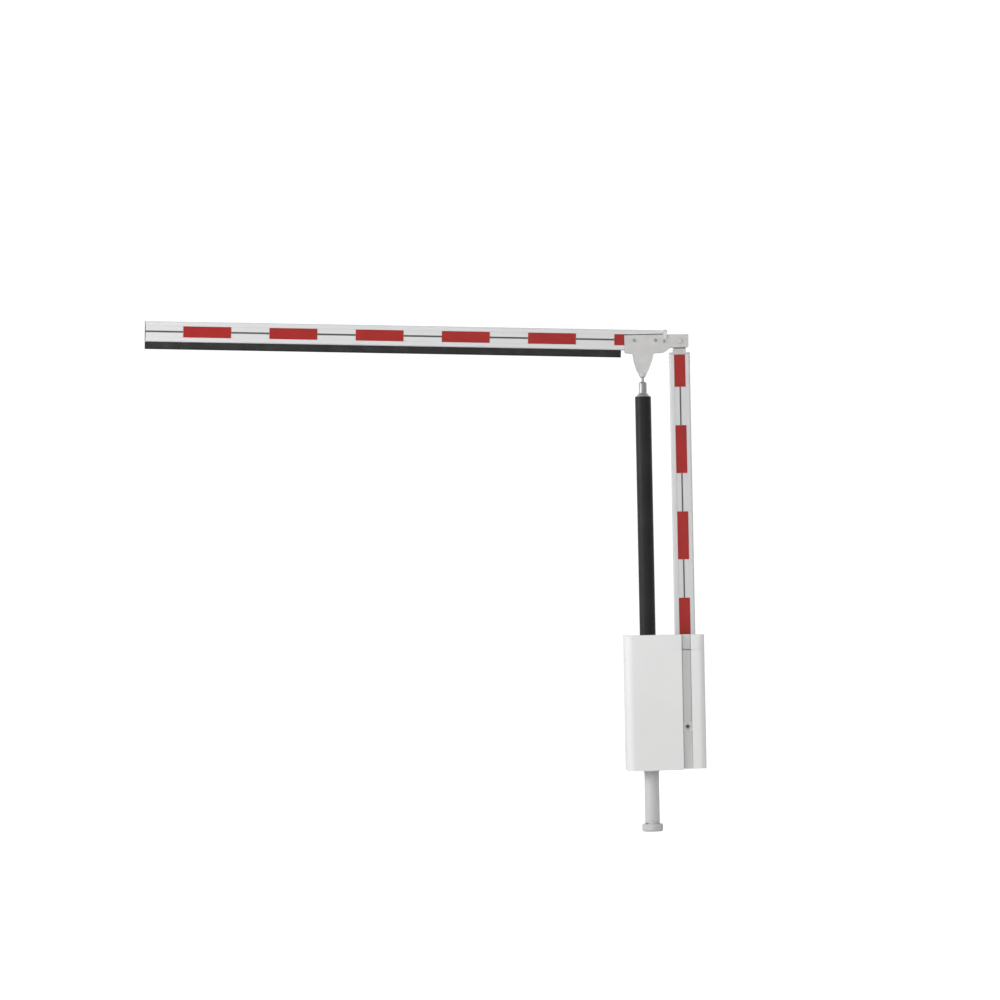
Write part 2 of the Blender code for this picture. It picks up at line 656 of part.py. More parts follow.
def from_elbow(x, z):
    """A world point of the boom's plane, given from the elbow, in the tilted boom's own coordinates."""
    turned_back = Matrix.Rotation(BOOM_TILT, 2) @ Vector((x, z))
    return turned_back.x, turned_back.y


def bracket_outline():
    """Side plate of the elbow: an arm to the elbow pin, two lobes on the boom and a vee to the link's pin."""
    link_x, link_z = -HUB_X, LINK_TOP_Z - ELBOW_Z
    corners = [
        (-0.275, 0.033, 0.004),
        (0.046, 0.033, 0.004),
        (0.046, -0.032, 0.008),
        (-0.043, -0.032, 0.010),
        (-0.078, -0.056, 0.012),
        (-0.128, -0.059, 0.010),
        (-0.134, -0.078, 0.008),
        (link_x + 0.046, link_z + 0.0625, 0.015),
        (link_x + 0.029, link_z + 0.020, 0.012),
        (link_x + 0.011, link_z - 0.012, 0.009),
        (link_x - 0.011, link_z - 0.012, 0.009),
        (link_x - 0.030, link_z + 0.026, 0.015),
        (link_x - 0.043, link_z + 0.070, 0.015),
        (-0.2345, -0.060, 0.004),
        (-0.275, -0.0545, 0.008),
    ]
    return filleted([(*from_elbow(x, z), radius) for x, z, radius in corners], 4)


def elbow_brackets(parent):
    outline = bracket_outline()
    link = from_elbow(-HUB_X, LINK_TOP_Z - ELBOW_Z)
    fronts = {"front": BOOM_FRONT - 0.0005 - BRACKET_THICKNESS, "rear": BOOM_BACK + 0.0005}
    for side, low in fronts.items():
        plate = prism(f"elbow_bracket_{side}", outline, "Y", low, low + BRACKET_THICKNESS, CAST, parent)
        drill(plate, "Y", (0, 0), 0.0083, low - 0.01, low + 0.02)
        drill(plate, "Y", link, 0.0063, low - 0.01, low + 0.02)
    pin(parent, "elbow_pin", (0, 0), 0.008, 0.013)
    pin(parent, "link_top_pin", link, 0.006, 0.0095)


def pin(parent, name, centre, radius, head):
    """A headed pin right through both brackets."""
    low, high = BOOM_FRONT - 0.0005 - BRACKET_THICKNESS - GAP, BOOM_BACK + 0.0005 + BRACKET_THICKNESS
    profile = [(0, low - 0.005), (head - 0.001, low - 0.005), (head, low - 0.004), (head, low)]
    profile += [(radius, low), (radius, high + 0.006), (radius - 0.001, high + 0.007), (0, high + 0.007)]
    return turned(name, profile, "Y", centre, STEEL, parent, 24)


def outer_boom(parent):
    outline = [(BOOM_Y + y, x) for x, y in boom_outline()]
    bore = [(BOOM_Y + y, x) for x, y in boom_bore()]
    boom = prism("outer_boom", outline, "X", OUTER_TIP + 0.003, OUTER_HEEL - 0.003, BOOM_WHITE, parent)
    cut(boom, prism("outer_boom_bore", bore, "X", OUTER_TIP - 0.1, OUTER_HEEL + 0.05))
    first_start = -2.490
    for index in range(6):
        low = first_start + index * STRIPE_PITCH
        stripe_in(f"outer_stripe_{index + 1}", "X", low, low + STRIPE_LENGTH, 0, parent)
    boom_caps(parent)
    rubber_edge(parent)


def boom_caps(parent):
    """Plugged end caps. The heel cap stands a little above the boom."""
    half, depth, edge = BOOM_WIDTH / 2, BOOM_DEPTH / 2, 0.008
    section = rounded_rectangle((BOOM_Y - depth, -half), (BOOM_Y + depth, half), edge)
    tip = prism("boom_tip_cap", section, "X", OUTER_TIP, OUTER_TIP + 0.003 - GAP, DARK_PLASTIC, parent)
    join(tip, plug("tip_plug", OUTER_TIP + 0.002, OUTER_TIP + 0.035))
    section = rounded_rectangle((BOOM_Y - depth, -half), (BOOM_Y + depth, half + 0.003), edge)
    low = OUTER_HEEL - 0.003 + GAP
    heel = prism("boom_heel_cap", section, "X", low, OUTER_HEEL + 0.016, BOOM_WHITE, parent)
    join(heel, plug("heel_plug", OUTER_HEEL - 0.040, OUTER_HEEL))


def plug(name, low, high):
    half = BOOM_WIDTH / 2 - BOOM_WALL - 0.006
    depth = BOOM_DEPTH / 2 - BOOM_WALL - RECESS_DEPTH - SLOT_DEPTH - 0.001
    return box(name, (low, BOOM_Y - depth, -half), (high, BOOM_Y + depth, half))


def rubber_edge(parent):
    """A hollow rubber buffer along the boom's lower edge."""
    top = -BOOM_WIDTH / 2 - 0.0008
    low = top - RUBBER_HEIGHT

    def section(inset):
        half, radius = RUBBER_WIDTH / 2 - inset, 0.012 - inset
        lower = [(-half, low + inset, radius), (half, low + inset, radius)]
        corners = [(-half, top - inset, 0.001), *lower, (half, top - inset, 0.001)]
        return [(BOOM_Y + y, z) for y, z in filleted(corners, 4)]

    strip = prism("rubber_edge", section(0), "X", OUTER_TIP, RUBBER_HEEL, BLACK_RUBBER, parent)
    cut(strip, prism("rubber_edge_bore", section(0.0035), "X", OUTER_TIP - 0.05, RUBBER_HEEL + 0.05))


# Link rod


def link_end(name, eye_z, way):
    """A rod end: an eye, a neck, a ferrule and a plug that closes the tube. way is -1 when it points down."""
    steps = [(0, 0.006), (0.0065, 0.006), (0.0065, 0.033), (0.016, 0.037), (0.0195, 0.043), (0.0195, 0.090)]
    steps += [(0.0355, TUBE_INSET), (0.0355, TUBE_INSET + 0.030), (0, TUBE_INSET + 0.030)]
    profile = [(radius, eye_z + way * distance) for radius, distance in steps]
    end = turned(name, profile, "Z", (0, BOOM_Y), BRIGHT_STEEL, segments=28)
    join(end, prism(f"{name}_eye", circle((0, eye_z), 0.0165, 28), "Y", BOOM_Y - 0.010, BOOM_Y + 0.010))
    return drill(end, "Y", (0, eye_z), 0.0063, BOOM_Y - 0.03, BOOM_Y + 0.03, 24)


def link():
    """The tube and its two rod ends. The tube starts past each flare."""
    low, high = LINK_BOTTOM_Z + TUBE_INSET, LINK_TOP_Z - TUBE_INSET
    tube = pipe("link_tube", 0.040, 0.0358, "Z", (0, BOOM_Y), low, high, BLACK_COAT, segments=36)
    return tube, link_end("link_end_top", LINK_TOP_Z, -1), link_end("link_end_bottom", LINK_BOTTOM_Z, 1)


def link_anchor():
    """A clevis on the cabinet's back, open upwards and to the boom's side, and its pin."""
    wall = CABINET_BACK + GAP
    front, rear = BOOM_Y - 0.021, BOOM_Y + 0.013
    low = LINK_BOTTOM_Z - 0.060
    base = rounded_rectangle((-0.045, low - 0.030), (0.045, LINK_BOTTOM_Z + 0.040), 0.006, 3)
    bracket = prism("link_anchor", base, "Y", wall, wall + 0.006, CAST)
    join(bracket, box("anchor_shelf", (-0.022, wall + 0.004, low), (0.022, rear + 0.008, low + 0.022)))
    ear = arc((0, LINK_BOTTOM_Z), 0.018, 0, 180, 12) + [(-0.018, low + 0.010), (0.018, low + 0.010)]
    join(bracket, prism("anchor_front_ear", ear, "Y", front, front + 0.008))
    join(bracket, prism("anchor_rear_ear", ear, "Y", rear, rear + 0.0079))
    drill(bracket, "Y", (0, LINK_BOTTOM_Z), 0.0063, front - 0.01, rear + 0.02)
    profile = [(0, front - 0.005), (0.009, front - 0.005), (0.009, front - GAP), (0.006, front - GAP)]
    profile += [(0.006, rear + 0.013), (0.005, rear + 0.014), (0, rear + 0.014)]
    turned("link_anchor_pin", profile, "Y", (0, LINK_BOTTOM_Z), STEEL, segments=24)


def drive_pinion():
    """The motor's pinion with its stub shaft. A gap between its teeth faces the drive gear."""
    half_pitch = 180 / PINION_TEETH
    teeth = [(HUB_X + x, PINION_Z + z) for x, z in gear_outline(PINION_TEETH, 90 + half_pitch)]
    pinion = prism("drive_pinion", teeth, "Y", GEAR_FRONT - 0.002, GEAR_FRONT + GEAR_WIDTH + 0.002, STEEL)
    stub = circle((HUB_X, PINION_Z), 0.009, 24)
    return join(pinion, prism("pinion_stub", stub, "Y", CHASSIS_FRONT + GAP, GEAR_FRONT + 0.005))


def build():
    foot()
    mast()
    housing()
    columns()
    floor_and_lid()
    chassis()
    bearings()
    gearmotor()
    torsion_spring()
    controls()
    link_anchor()
    hub = pivot("hub_axis", (HUB_X, BOOM_Y, HUB_Z))
    adopt(hub, *hub_parts(), *inner_boom())
    adopt(pivot("pinion_axis", (HUB_X, GEAR_FRONT, PINION_Z)), drive_pinion())
    adopt(pivot("link_axis", (0, BOOM_Y, LINK_BOTTOM_Z)), *link())
    door_axis = pivot("door_axis", (HINGE_X, HINGE_Y, CABINET_BOTTOM))
    adopt(door_axis, door())
    for place, bottom in HINGE_BOTTOMS.items():
        hinge_half(f"hinge_{place}_fixed", bottom, 1, True)
        moving = hinge_half(f"hinge_{place}_door", bottom + HINGE_HALF_LENGTH + 0.0005, -1, False)
        adopt(door_axis, moving)
    adopt(pivot("lock_axis", (LOCK_X, GROOVE_FLOOR_Y, LOCK_Z)), lock())
    elbow = pivot("elbow_axis", (HUB_X, 0, ELBOW_Z), BOOM_TILT)
    outer_boom(elbow)
    elbow_brackets(elbow)


build()
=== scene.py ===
"""Looks of the articulated parking barrier gate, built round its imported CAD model.

Metres, +Z up, in the CAD model's frame. The cabinet's door looks to -Y, and the outer boom reaches out to -X.
"""

import json
import math

import bmesh
import bpy
from mathutils import Matrix, Vector

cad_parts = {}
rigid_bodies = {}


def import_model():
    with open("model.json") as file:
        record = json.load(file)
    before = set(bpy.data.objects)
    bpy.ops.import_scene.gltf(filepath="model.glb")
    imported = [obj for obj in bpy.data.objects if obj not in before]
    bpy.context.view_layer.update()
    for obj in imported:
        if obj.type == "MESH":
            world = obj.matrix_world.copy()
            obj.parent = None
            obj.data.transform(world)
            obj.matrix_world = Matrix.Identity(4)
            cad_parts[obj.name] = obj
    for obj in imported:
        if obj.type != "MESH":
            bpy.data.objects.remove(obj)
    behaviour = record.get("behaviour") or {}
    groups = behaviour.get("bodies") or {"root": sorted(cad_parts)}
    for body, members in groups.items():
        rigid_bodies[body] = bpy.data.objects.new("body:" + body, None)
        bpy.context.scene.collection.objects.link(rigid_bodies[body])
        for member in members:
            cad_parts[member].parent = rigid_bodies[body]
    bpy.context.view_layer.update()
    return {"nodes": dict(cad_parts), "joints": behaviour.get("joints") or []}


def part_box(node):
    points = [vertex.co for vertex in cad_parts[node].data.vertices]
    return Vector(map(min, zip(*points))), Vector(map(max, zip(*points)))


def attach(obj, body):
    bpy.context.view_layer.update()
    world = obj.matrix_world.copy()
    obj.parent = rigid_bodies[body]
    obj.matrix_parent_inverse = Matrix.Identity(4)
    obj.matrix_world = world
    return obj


for old in list(bpy.data.objects):
    bpy.data.objects.remove(old, do_unlink=True)

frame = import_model()

# Joints and boxes of the CAD model, which everything else is worked out from
AXES = {joint["name"]: Vector(joint["pos_m"]) for joint in frame["joints"]}
HUB = AXES["hub_swing"]
ELBOW = AXES["elbow_fold"]
LINK_BOTTOM = AXES["link_swing"]
LINK_TOP = LINK_BOTTOM + ELBOW - HUB
LOCK = AXES["lock_turn"]
DOOR_LOW, DOOR_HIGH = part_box("door_panel")
COLUMN_LOW, COLUMN_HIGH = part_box("side_column")
HOUSING_LOW, HOUSING_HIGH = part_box("housing")
HEAD_LOW, HEAD_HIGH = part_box("column_head")
BOOM_LOW, BOOM_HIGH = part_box("inner_boom")
BRACKET_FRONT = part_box("elbow_bracket_front")[0].y
BRACKET_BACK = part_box("elbow_bracket_rear")[1].y
CHASSIS_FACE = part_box("chassis_plate")[0].y

# The cabinet's sheet and its groove
SKIN = 0.003
GROOVE_LEFT = DOOR_HIGH.x
GROOVE_RIGHT = 0.204
GROOVE_FACE = LOCK.y - SKIN / 2

# The outer boom's tip and reflectors, measured along the boom from the elbow
BOOM_TILT = math.radians(2.15)
OUTER_TIP = -2.683
FIRST_STRIPE = -2.490
STRIPE_PITCH = 0.4328
STRIPE_LENGTH = 0.240

# The hair's breadth between a fitting and its seat: under a bolt or screw, and under a cover or lining
GAP = 0.0001
SEAT = 0.0002

# Local frames: x and y lie in the face, and z points out of it. ALONG is for sections, with z along +X.
# OUTER is the tilted outer boom's own frame, with the elbow as its origin.
FRONT = Matrix(((1, 0, 0, 0), (0, 0, -1, 0), (0, 1, 0, 0), (0, 0, 0, 1)))
BACK = Matrix(((-1, 0, 0, 0), (0, 0, 1, 0), (0, 1, 0, 0), (0, 0, 0, 1)))
LEVEL = Matrix.Identity(4)
ALONG = Matrix(((0, 0, 1, 0), (1, 0, 0, 0), (0, 1, 0, 0), (0, 0, 0, 1)))
OUTER = Matrix.Translation((ELBOW.x, 0, ELBOW.z)) @ Matrix.Rotation(BOOM_TILT, 4, "Y")


# Finishes


class Finish:
    """A Principled material whose layers are worked out in the object's own coordinates."""

    def __init__(self, name, colour, roughness, metallic=0.0, **fixed):
        self.material = bpy.data.materials.new(name)
        self.material.use_nodes = True
        self.tree = self.material.node_tree
        self.shader = self.tree.nodes["Principled BSDF"]
        self.shader.inputs["Base Color"].default_value = (*colour, 1)
        self.shader.inputs["Roughness"].default_value = roughness
        self.shader.inputs["Metallic"].default_value = metallic
        for socket, value in fixed.items():
            self.shader.inputs[socket.replace("_", " ")].default_value = value
        self.place = self.add("ShaderNodeTexCoord").outputs["Object"]
        self.colour = (*colour, 1)
        self.normal = None

    def add(self, kind, inputs=None, **settings):
        made = self.tree.nodes.new(kind)
        for key, value in settings.items():
            setattr(made, key, value)
        for key, value in (inputs or {}).items():
            if isinstance(value, bpy.types.NodeSocket):
                self.tree.links.new(value, made.inputs[key])
            else:
                made.inputs[key].default_value = value
        return made

    def stretched(self, stretch, turn=0.0):
        inputs = {"Vector": self.place, "Scale": stretch, "Rotation": (0, turn, 0)}
        return self.add("ShaderNodeMapping", inputs).outputs["Vector"]

    def noise(self, scale, detail=2.0, stretch=(1, 1, 1), turn=0.0):
        where = self.stretched(stretch, turn)
        inputs = {"Vector": where, "Scale": scale, "Detail": detail, "Roughness": 0.55}
        return self.add("ShaderNodeTexNoise", inputs).outputs["Fac"]

    def cells(self, scale, output="Distance", feature="F1"):
        inputs = {"Vector": self.place, "Scale": scale}
        return self.add("ShaderNodeTexVoronoi", inputs, feature=feature).outputs[output]

    def fit(self, value, low, high, to_low=0.0, to_high=1.0):
        inputs = {"Value": value, "From Min": low, "From Max": high, "To Min": to_low, "To Max": to_high}
        return self.add("ShaderNodeMapRange", inputs).outputs["Result"]

    def calculate(self, operation, first, second=0.0):
        return self.add("ShaderNodeMath", {0: first, 1: second}, operation=operation).outputs[0]

    def dot(self, first, second):
        inputs = {0: first, 1: second}
        return self.add("ShaderNodeVectorMath", inputs, operation="DOT_PRODUCT").outputs["Value"]

    def height(self):
        return self.add("ShaderNodeSeparateXYZ", {"Vector": self.place}).outputs["Z"]

    def tint(self, mask, colour):
        """Shows another colour where the mask is high."""
        inputs = {0: mask, 6: self.colour, 7: (*colour, 1)}
        self.colour = self.add("ShaderNodeMix", inputs, data_type="RGBA").outputs[2]

    def vary(self, value, low, high, darkest, lightest):
        """Multiplies the colour by a factor that follows a value."""
        factor = self.fit(value, low, high, darkest, lightest)
        inputs = {0: 1.0, 6: self.colour, 7: factor}
        self.colour = self.add("ShaderNodeMix", inputs, data_type="RGBA", blend_type="MULTIPLY").outputs[2]

    def roughen(self, value, low, high, smoothest, roughest):
        self.tree.links.new(self.fit(value, low, high, smoothest, roughest), self.shader.inputs["Roughness"])

    def round_edges(self, radius):
        self.normal = self.add("ShaderNodeBevel", {"Radius": radius}, samples=6).outputs["Normal"]

    def bump(self, value, distance, strength=1.0):
        inputs = {"Height": value, "Distance": distance, "Strength": strength}
        if self.normal:
            inputs["Normal"] = self.normal
        self.normal = self.add("ShaderNodeBump", inputs).outputs["Normal"]

    def edge_wear_and_highlight(self, radius, colour, amount):
        """Shows a colour on broken stretches of the edges, where the rounded normal leaves the flat one. A
        lighter colour there is partly wear and partly a painted highlight.
        """
        rounded = self.add("ShaderNodeBevel", {"Radius": radius}, samples=6).outputs["Normal"]
        flat = self.add("ShaderNodeNewGeometry").outputs["Normal"]
        dot = self.dot(rounded, flat)
        broken = self.fit(self.noise(55, 4), 0.45, 0.62)
        self.tint(self.calculate("MULTIPLY", self.fit(dot, 0.97, 0.80, 0, amount), broken), colour)

    def paint_corner_shade(self, distance, colour, amount):
        """Paints shade: a darker colour in corners and gaps, where ambient occlusion finds little open sky.
        """
        open_sky = self.add("ShaderNodeAmbientOcclusion", {"Distance": distance}, samples=6).outputs["AO"]
        self.tint(self.fit(open_sky, 0.9, 0.25, 0, amount), colour)

    def done(self):
        if isinstance(self.colour, bpy.types.NodeSocket):
            self.tree.links.new(self.colour, self.shader.inputs["Base Color"])
        if self.normal:
            self.tree.links.new(self.normal, self.shader.inputs["Normal"])
        return self.material


def powder_coat(name, colour, peel_scale=750, dust_top=0.0):
    """Powder coat: orange peel, slightly uneven gloss, painted shade in corners, and rubbed edges with a
    painted highlight.
    """
    look = Finish(name, colour, 0.42, Specular_IOR_Level=0.45)
    look.round_edges(0.0010)
    look.bump(look.noise(peel_scale, 1), 0.00006, 0.6)
    look.bump(look.noise(40, 2), 0.00035, 0.25)
    look.vary(look.noise(2.5, 3), 0.3, 0.7, 0.975, 1.01)
    look.vary(look.noise(160, 4), 0.35, 0.7, 0.985, 1.005)
    look.roughen(look.noise(22, 3), 0.3, 0.7, 0.36, 0.50)
    # Painted shade: a darker colour in corners and gaps
    look.paint_corner_shade(0.010, [channel * 0.62 for channel in colour], 0.45)
    # Lighter broken edges: partly rubbed paint, partly a painted highlight
    look.edge_wear_and_highlight(0.0010, [min(0.9, channel * 1.18) for channel in colour], 0.5)
    if dust_top:
        near_ground = look.fit(look.height(), dust_top, 0.0, 0, 0.4)
        patches = look.fit(look.noise(18, 5), 0.40, 0.62)
        look.tint(look.calculate("MULTIPLY", near_ground, patches), (0.44, 0.41, 0.37))
    return look.done()


def boom_coat(name, grey, stretch, turn=0.0):
    """White coat on an extrusion: faint lines along it, and light scuffs."""
    look = Finish(name, (grey, grey, grey * 1.008), 0.40, Specular_IOR_Level=0.4)
    look.round_edges(0.0006)
    look.bump(look.noise(1, 2, stretch, turn), 0.00010, 0.5)
    look.bump(look.noise(900, 1), 0.00004, 0.5)
    look.vary(look.noise(1, 3, [value * 0.25 for value in stretch], turn), 0.3, 0.7, 0.975, 1.01)
    look.vary(look.noise(6, 4), 0.3, 0.7, 0.98, 1.01)
    look.roughen(look.noise(30, 3), 0.3, 0.7, 0.30, 0.44)
    scuffs = look.fit(look.noise(1, 5, [value * 0.6 for value in stretch], turn), 0.66, 0.74, 0, 0.30)
    look.tint(scuffs, (0.45, 0.45, 0.45))
    # Painted shade: a darker colour in corners and gaps
    look.paint_corner_shade(0.006, (0.32, 0.32, 0.32), 0.45)
    return look.done()


def reflective_film():
    """Red film: fine glass beads under three crossed sets of seal lines, below a glossy face."""
    gloss = {"Coat_Weight": 0.15, "Coat_Roughness": 0.20, "Specular_IOR_Level": 0.25}
    look = Finish("red_film", (0.375, 0.019, 0.016), 0.40, **gloss)
    look.round_edges(0.0005)
    cell = 0.0045
    lines = 1.0
    for angle in (0, 60, 120):
        across = (math.cos(math.radians(angle)), 0, math.sin(math.radians(angle)))
        phase = look.calculate("MULTIPLY", look.dot(look.place, across), math.pi / cell)
        wave = look.calculate("SINE", phase)
        lines = look.calculate("MINIMUM", lines, look.calculate("ABSOLUTE", wave))
    look.vary(lines, 0.0, 0.22, 0.80, 1.0)
    look.vary(look.cells(1400), 0.1, 0.7, 1.12, 0.86)
    look.vary(look.noise(9, 4), 0.3, 0.7, 0.90, 1.06)
    look.bump(lines, 0.00008, 0.5)
    look.bump(look.cells(1400), 0.00005, 0.5)
    look.roughen(look.noise(60, 3), 0.3, 0.7, 0.28, 0.42)
    # Painted shade: a darker colour in corners and gaps
    look.paint_corner_shade(0.004, (0.10, 0.008, 0.008), 0.55)
    return look.done()


def rubber(name, stretch=(1, 1, 1), turn=0.0, grey=0.021):
    """Rubber: a dull grain, faint extrusion lines, and a grey bloom in patches."""
    look = Finish(name, (grey, grey, grey), 0.78, Specular_IOR_Level=0.3)
    look.round_edges(0.0010)
    look.bump(look.noise(900, 2), 0.00010, 0.6)
    look.bump(look.noise(1, 2, stretch, turn), 0.00015, 0.5)
    look.tint(look.fit(look.noise(14, 5), 0.48, 0.75, 0, 0.30), (0.075, 0.073, 0.070))
    look.tint(look.fit(look.noise(220, 3), 0.60, 0.72, 0, 0.35), (0.10, 0.10, 0.095))
    look.roughen(look.noise(30, 3), 0.3, 0.7, 0.70, 0.88)
    return look.done()


def black_tube_coat():
    look = Finish("black_tube_coat", (0.019, 0.019, 0.0195), 0.52, Specular_IOR_Level=0.2)
    look.round_edges(0.0008)
    look.bump(look.noise(700, 1), 0.00008, 0.6)
    look.vary(look.noise(5, 4), 0.3, 0.7, 0.85, 1.2)
    look.roughen(look.noise(26, 4), 0.3, 0.7, 0.40, 0.56)
    look.tint(look.fit(look.noise(1, 5, (90, 90, 7)), 0.66, 0.76, 0, 0.4), (0.07, 0.07, 0.07))
    # Lighter broken edges: partly worn paint, partly a painted highlight
    look.edge_wear_and_highlight(0.0010, (0.30, 0.30, 0.31), 0.8)
    return look.done()


def zinc():
    """Zinc plate: faint crystals, a hint of yellow, fine scratches and dull edges."""
    look = Finish("zinc_plate", (0.58, 0.58, 0.585), 0.34, 1.0)
    look.round_edges(0.0005)
    look.vary(look.cells(70, "Color"), 0.1, 0.9, 0.88, 1.08)
    look.tint(look.fit(look.noise(8, 3), 0.48, 0.75, 0, 0.35), (0.56, 0.54, 0.47))
    look.roughen(look.noise(90, 4), 0.3, 0.7, 0.26, 0.46)
    look.bump(look.noise(1, 2, (900, 60, 60)), 0.00003, 0.5)
    # Painted shade: a darker colour in corners and gaps
    look.paint_corner_shade(0.006, (0.20, 0.19, 0.18), 0.5)
    return look.done()


def turned_steel():
    look = Finish("turned_steel", (0.46, 0.46, 0.465), 0.44, 0.8)
    look.round_edges(0.0006)
    look.bump(look.noise(1, 1, (3, 3, 1500)), 0.00005, 0.6)
    look.vary(look.noise(1, 2, (2, 2, 260)), 0.3, 0.7, 0.88, 1.05)
    look.roughen(look.noise(45, 3), 0.3, 0.7, 0.38, 0.50)
    # Painted shade: a darker colour in corners and gaps
    look.paint_corner_shade(0.006, (0.18, 0.18, 0.18), 0.5)
    return look.done()


def casting(name, colour, metallic):
    """Cast aluminium: a sandy skin with small pits, brighter on its edges, partly from wear and partly as a
    painted highlight.
    """
    look = Finish(name, colour, 0.50, metallic, Specular_IOR_Level=0.4)
    look.round_edges(0.0012)
    look.bump(look.noise(420, 3), 0.00022, 0.6)
    look.bump(look.cells(260), 0.00018, 0.4)
    look.vary(look.noise(12, 4), 0.3, 0.7, 0.93, 1.04)
    look.vary(look.noise(420, 3), 0.3, 0.7, 0.93, 1.03)
    look.roughen(look.noise(35, 3), 0.3, 0.7, 0.44, 0.62)
    # Painted shade: a darker colour in corners and gaps
    look.paint_corner_shade(0.008, [channel * 0.45 for channel in colour], 0.5)
    # Lighter broken edges: partly worn skin, partly a painted highlight
    look.edge_wear_and_highlight(0.0012, [min(0.85, channel * 1.25) for channel in colour], 0.6)
    return look.done()


def hammered_enamel():
    look = Finish("motor_enamel", (0.085, 0.11, 0.135), 0.38, 0.2, Coat_Weight=0.25, Coat_Roughness=0.2)
    look.round_edges(0.0012)
    look.bump(look.cells(240), 0.00035, 0.5)
    look.vary(look.noise(12, 3), 0.3, 0.7, 0.85, 1.15)
    look.roughen(look.noise(50, 3), 0.3, 0.7, 0.30, 0.48)
    # Painted shade: a darker colour in corners and gaps
    look.paint_corner_shade(0.010, (0.03, 0.035, 0.04), 0.6)
    return look.done()


def moulded_plastic(name, colour, roughness=0.5):
    """Plastic with a fine spark-eroded grain."""
    look = Finish(name, colour, roughness, Specular_IOR_Level=0.45)
    look.round_edges(0.0007)
    look.bump(look.noise(1500, 2), 0.00007, 0.6)
    look.vary(look.noise(7, 3), 0.3, 0.7, 0.94, 1.05)
    look.roughen(look.noise(120, 3), 0.3, 0.7, roughness - 0.08, roughness + 0.10)
    # Painted shade: a darker colour in corners and gaps
    look.paint_corner_shade(0.006, [channel * 0.5 for channel in colour], 0.5)
    return look.done()


def plain_metal(name, colour, roughness):
    """A small bright part: light tarnish and fine scratches."""
    look = Finish(name, colour, roughness, 1.0)
    look.round_edges(0.0004)
    look.vary(look.noise(120, 4), 0.3, 0.7, 0.82, 1.08)
    look.roughen(look.noise(200, 3), 0.3, 0.7, roughness - 0.06, roughness + 0.12)
    # Painted shade: a darker colour in corners and gaps
    look.paint_corner_shade(0.003, [channel * 0.35 for channel in colour], 0.6)
    return look.done()


UPRIGHT_GRAIN = (420, 420, 2.5)
LEVEL_GRAIN = (2.5, 420, 420)
FINISHES = {
    "white_coat": powder_coat("white_powder_coat", (0.765, 0.765, 0.76)),
    "grey_coat": powder_coat("grey_powder_coat", (0.575, 0.575, 0.575), dust_top=0.12),
    "boom_white": boom_coat("boom_coat_level", 0.65, LEVEL_GRAIN, BOOM_TILT),
    "red_reflector": reflective_film(),
    "black_rubber": rubber("black_rubber_strip", LEVEL_GRAIN, BOOM_TILT),
    "black_coat": black_tube_coat(),
    "zinc_steel": zinc(),
    "bright_steel": turned_steel(),
    "cast_aluminium": casting("cast_aluminium_skin", (0.615, 0.61, 0.60), 0.2),
    "light_cast": casting("light_cast_skin", (0.57, 0.56, 0.55), 0.15),
    "motor_paint": hammered_enamel(),
    "dark_plastic": moulded_plastic("dark_moulding", (0.035, 0.035, 0.038)),
    "light_plastic": moulded_plastic("light_moulding", (0.60, 0.60, 0.575)),
}
BOOM_UPRIGHT = boom_coat("boom_coat_upright", 0.63, UPRIGHT_GRAIN)
COLUMN_WHITE = powder_coat("column_powder_coat", (0.77, 0.77, 0.765))
GROOVE_GREY = powder_coat("groove_powder_coat", (0.60, 0.60, 0.595))
# Dark grey rubber that paints shade: strips in the booms' slots, on the head's tongue, and a pad edge above
# the bracket
SHADE_STRIP_RUBBER = rubber("slot_shade_strip", grey=0.085)
BRASS = plain_metal("brass", (0.62, 0.44, 0.18), 0.28)
GREEN_PLASTIC = moulded_plastic("green_moulding", (0.03, 0.20, 0.07), 0.42)
LAMP_GREEN = moulded_plastic("lamp_green", (0.05, 0.45, 0.10), 0.2)
LAMP_RED = moulded_plastic("lamp_red", (0.50, 0.03, 0.02), 0.2)

# CAD nodes whose finish isn't that of their slot
EXCEPTIONS = {
    "inner_boom": BOOM_UPRIGHT,
    "side_column": COLUMN_WHITE,
    "column_head": COLUMN_WHITE,
    # Painted light: the mast's collar gets the whiter column coat instead of its light-grey moulding, so it
    # reads lit in the cabinet's shade
    "mast_collar": COLUMN_WHITE,
    "hinge_lower_fixed": FINISHES["white_coat"],
    "hinge_lower_door": FINISHES["white_coat"],
    "hinge_upper_fixed": FINISHES["white_coat"],
    "hinge_upper_door": FINISHES["white_coat"],
    "elbow_pin": FINISHES["cast_aluminium"],
    "link_top_pin": FINISHES["cast_aluminium"],
}


def finish_cad_nodes():
    for name, node in frame["nodes"].items():
        slot = node.material_slots[0].material.name.split(".")[0]
        node.material_slots[0].material = EXCEPTIONS.get(name, FINISHES[slot])


# Shapes: each adds a closed form to a bmesh, in a local frame whose z points out of the face


def at(base, x, y, z):
    """A local frame moved to a point that is given in the world's axes."""
    return Matrix.Translation((x, y, z)) @ base


def facing(place, normal):
    """A local frame at a point, with z along any direction."""
    turn = Vector(normal).to_track_quat("Z", "Y").to_matrix().to_4x4()
    return Matrix.Translation(place) @ turn


def loft(bm, rings, matrix):
    """Faces between successive rings of points, with a face on both ends."""
    rows = [[bm.verts.new(matrix @ Vector(point)) for point in ring] for ring in rings]
    for first, second in zip(rows, rows[1:]):
        for index in range(len(first)):
            bm.faces.new((first[index - 1], first[index], second[index], second[index - 1]))
    bm.faces.new(rows[0])
    bm.faces.new(rows[-1])


def circle(radius, height, segments=24):
    turns = [2 * math.pi * step / segments for step in range(segments)]
    return [(radius * math.cos(a), radius * math.sin(a), height) for a in turns]


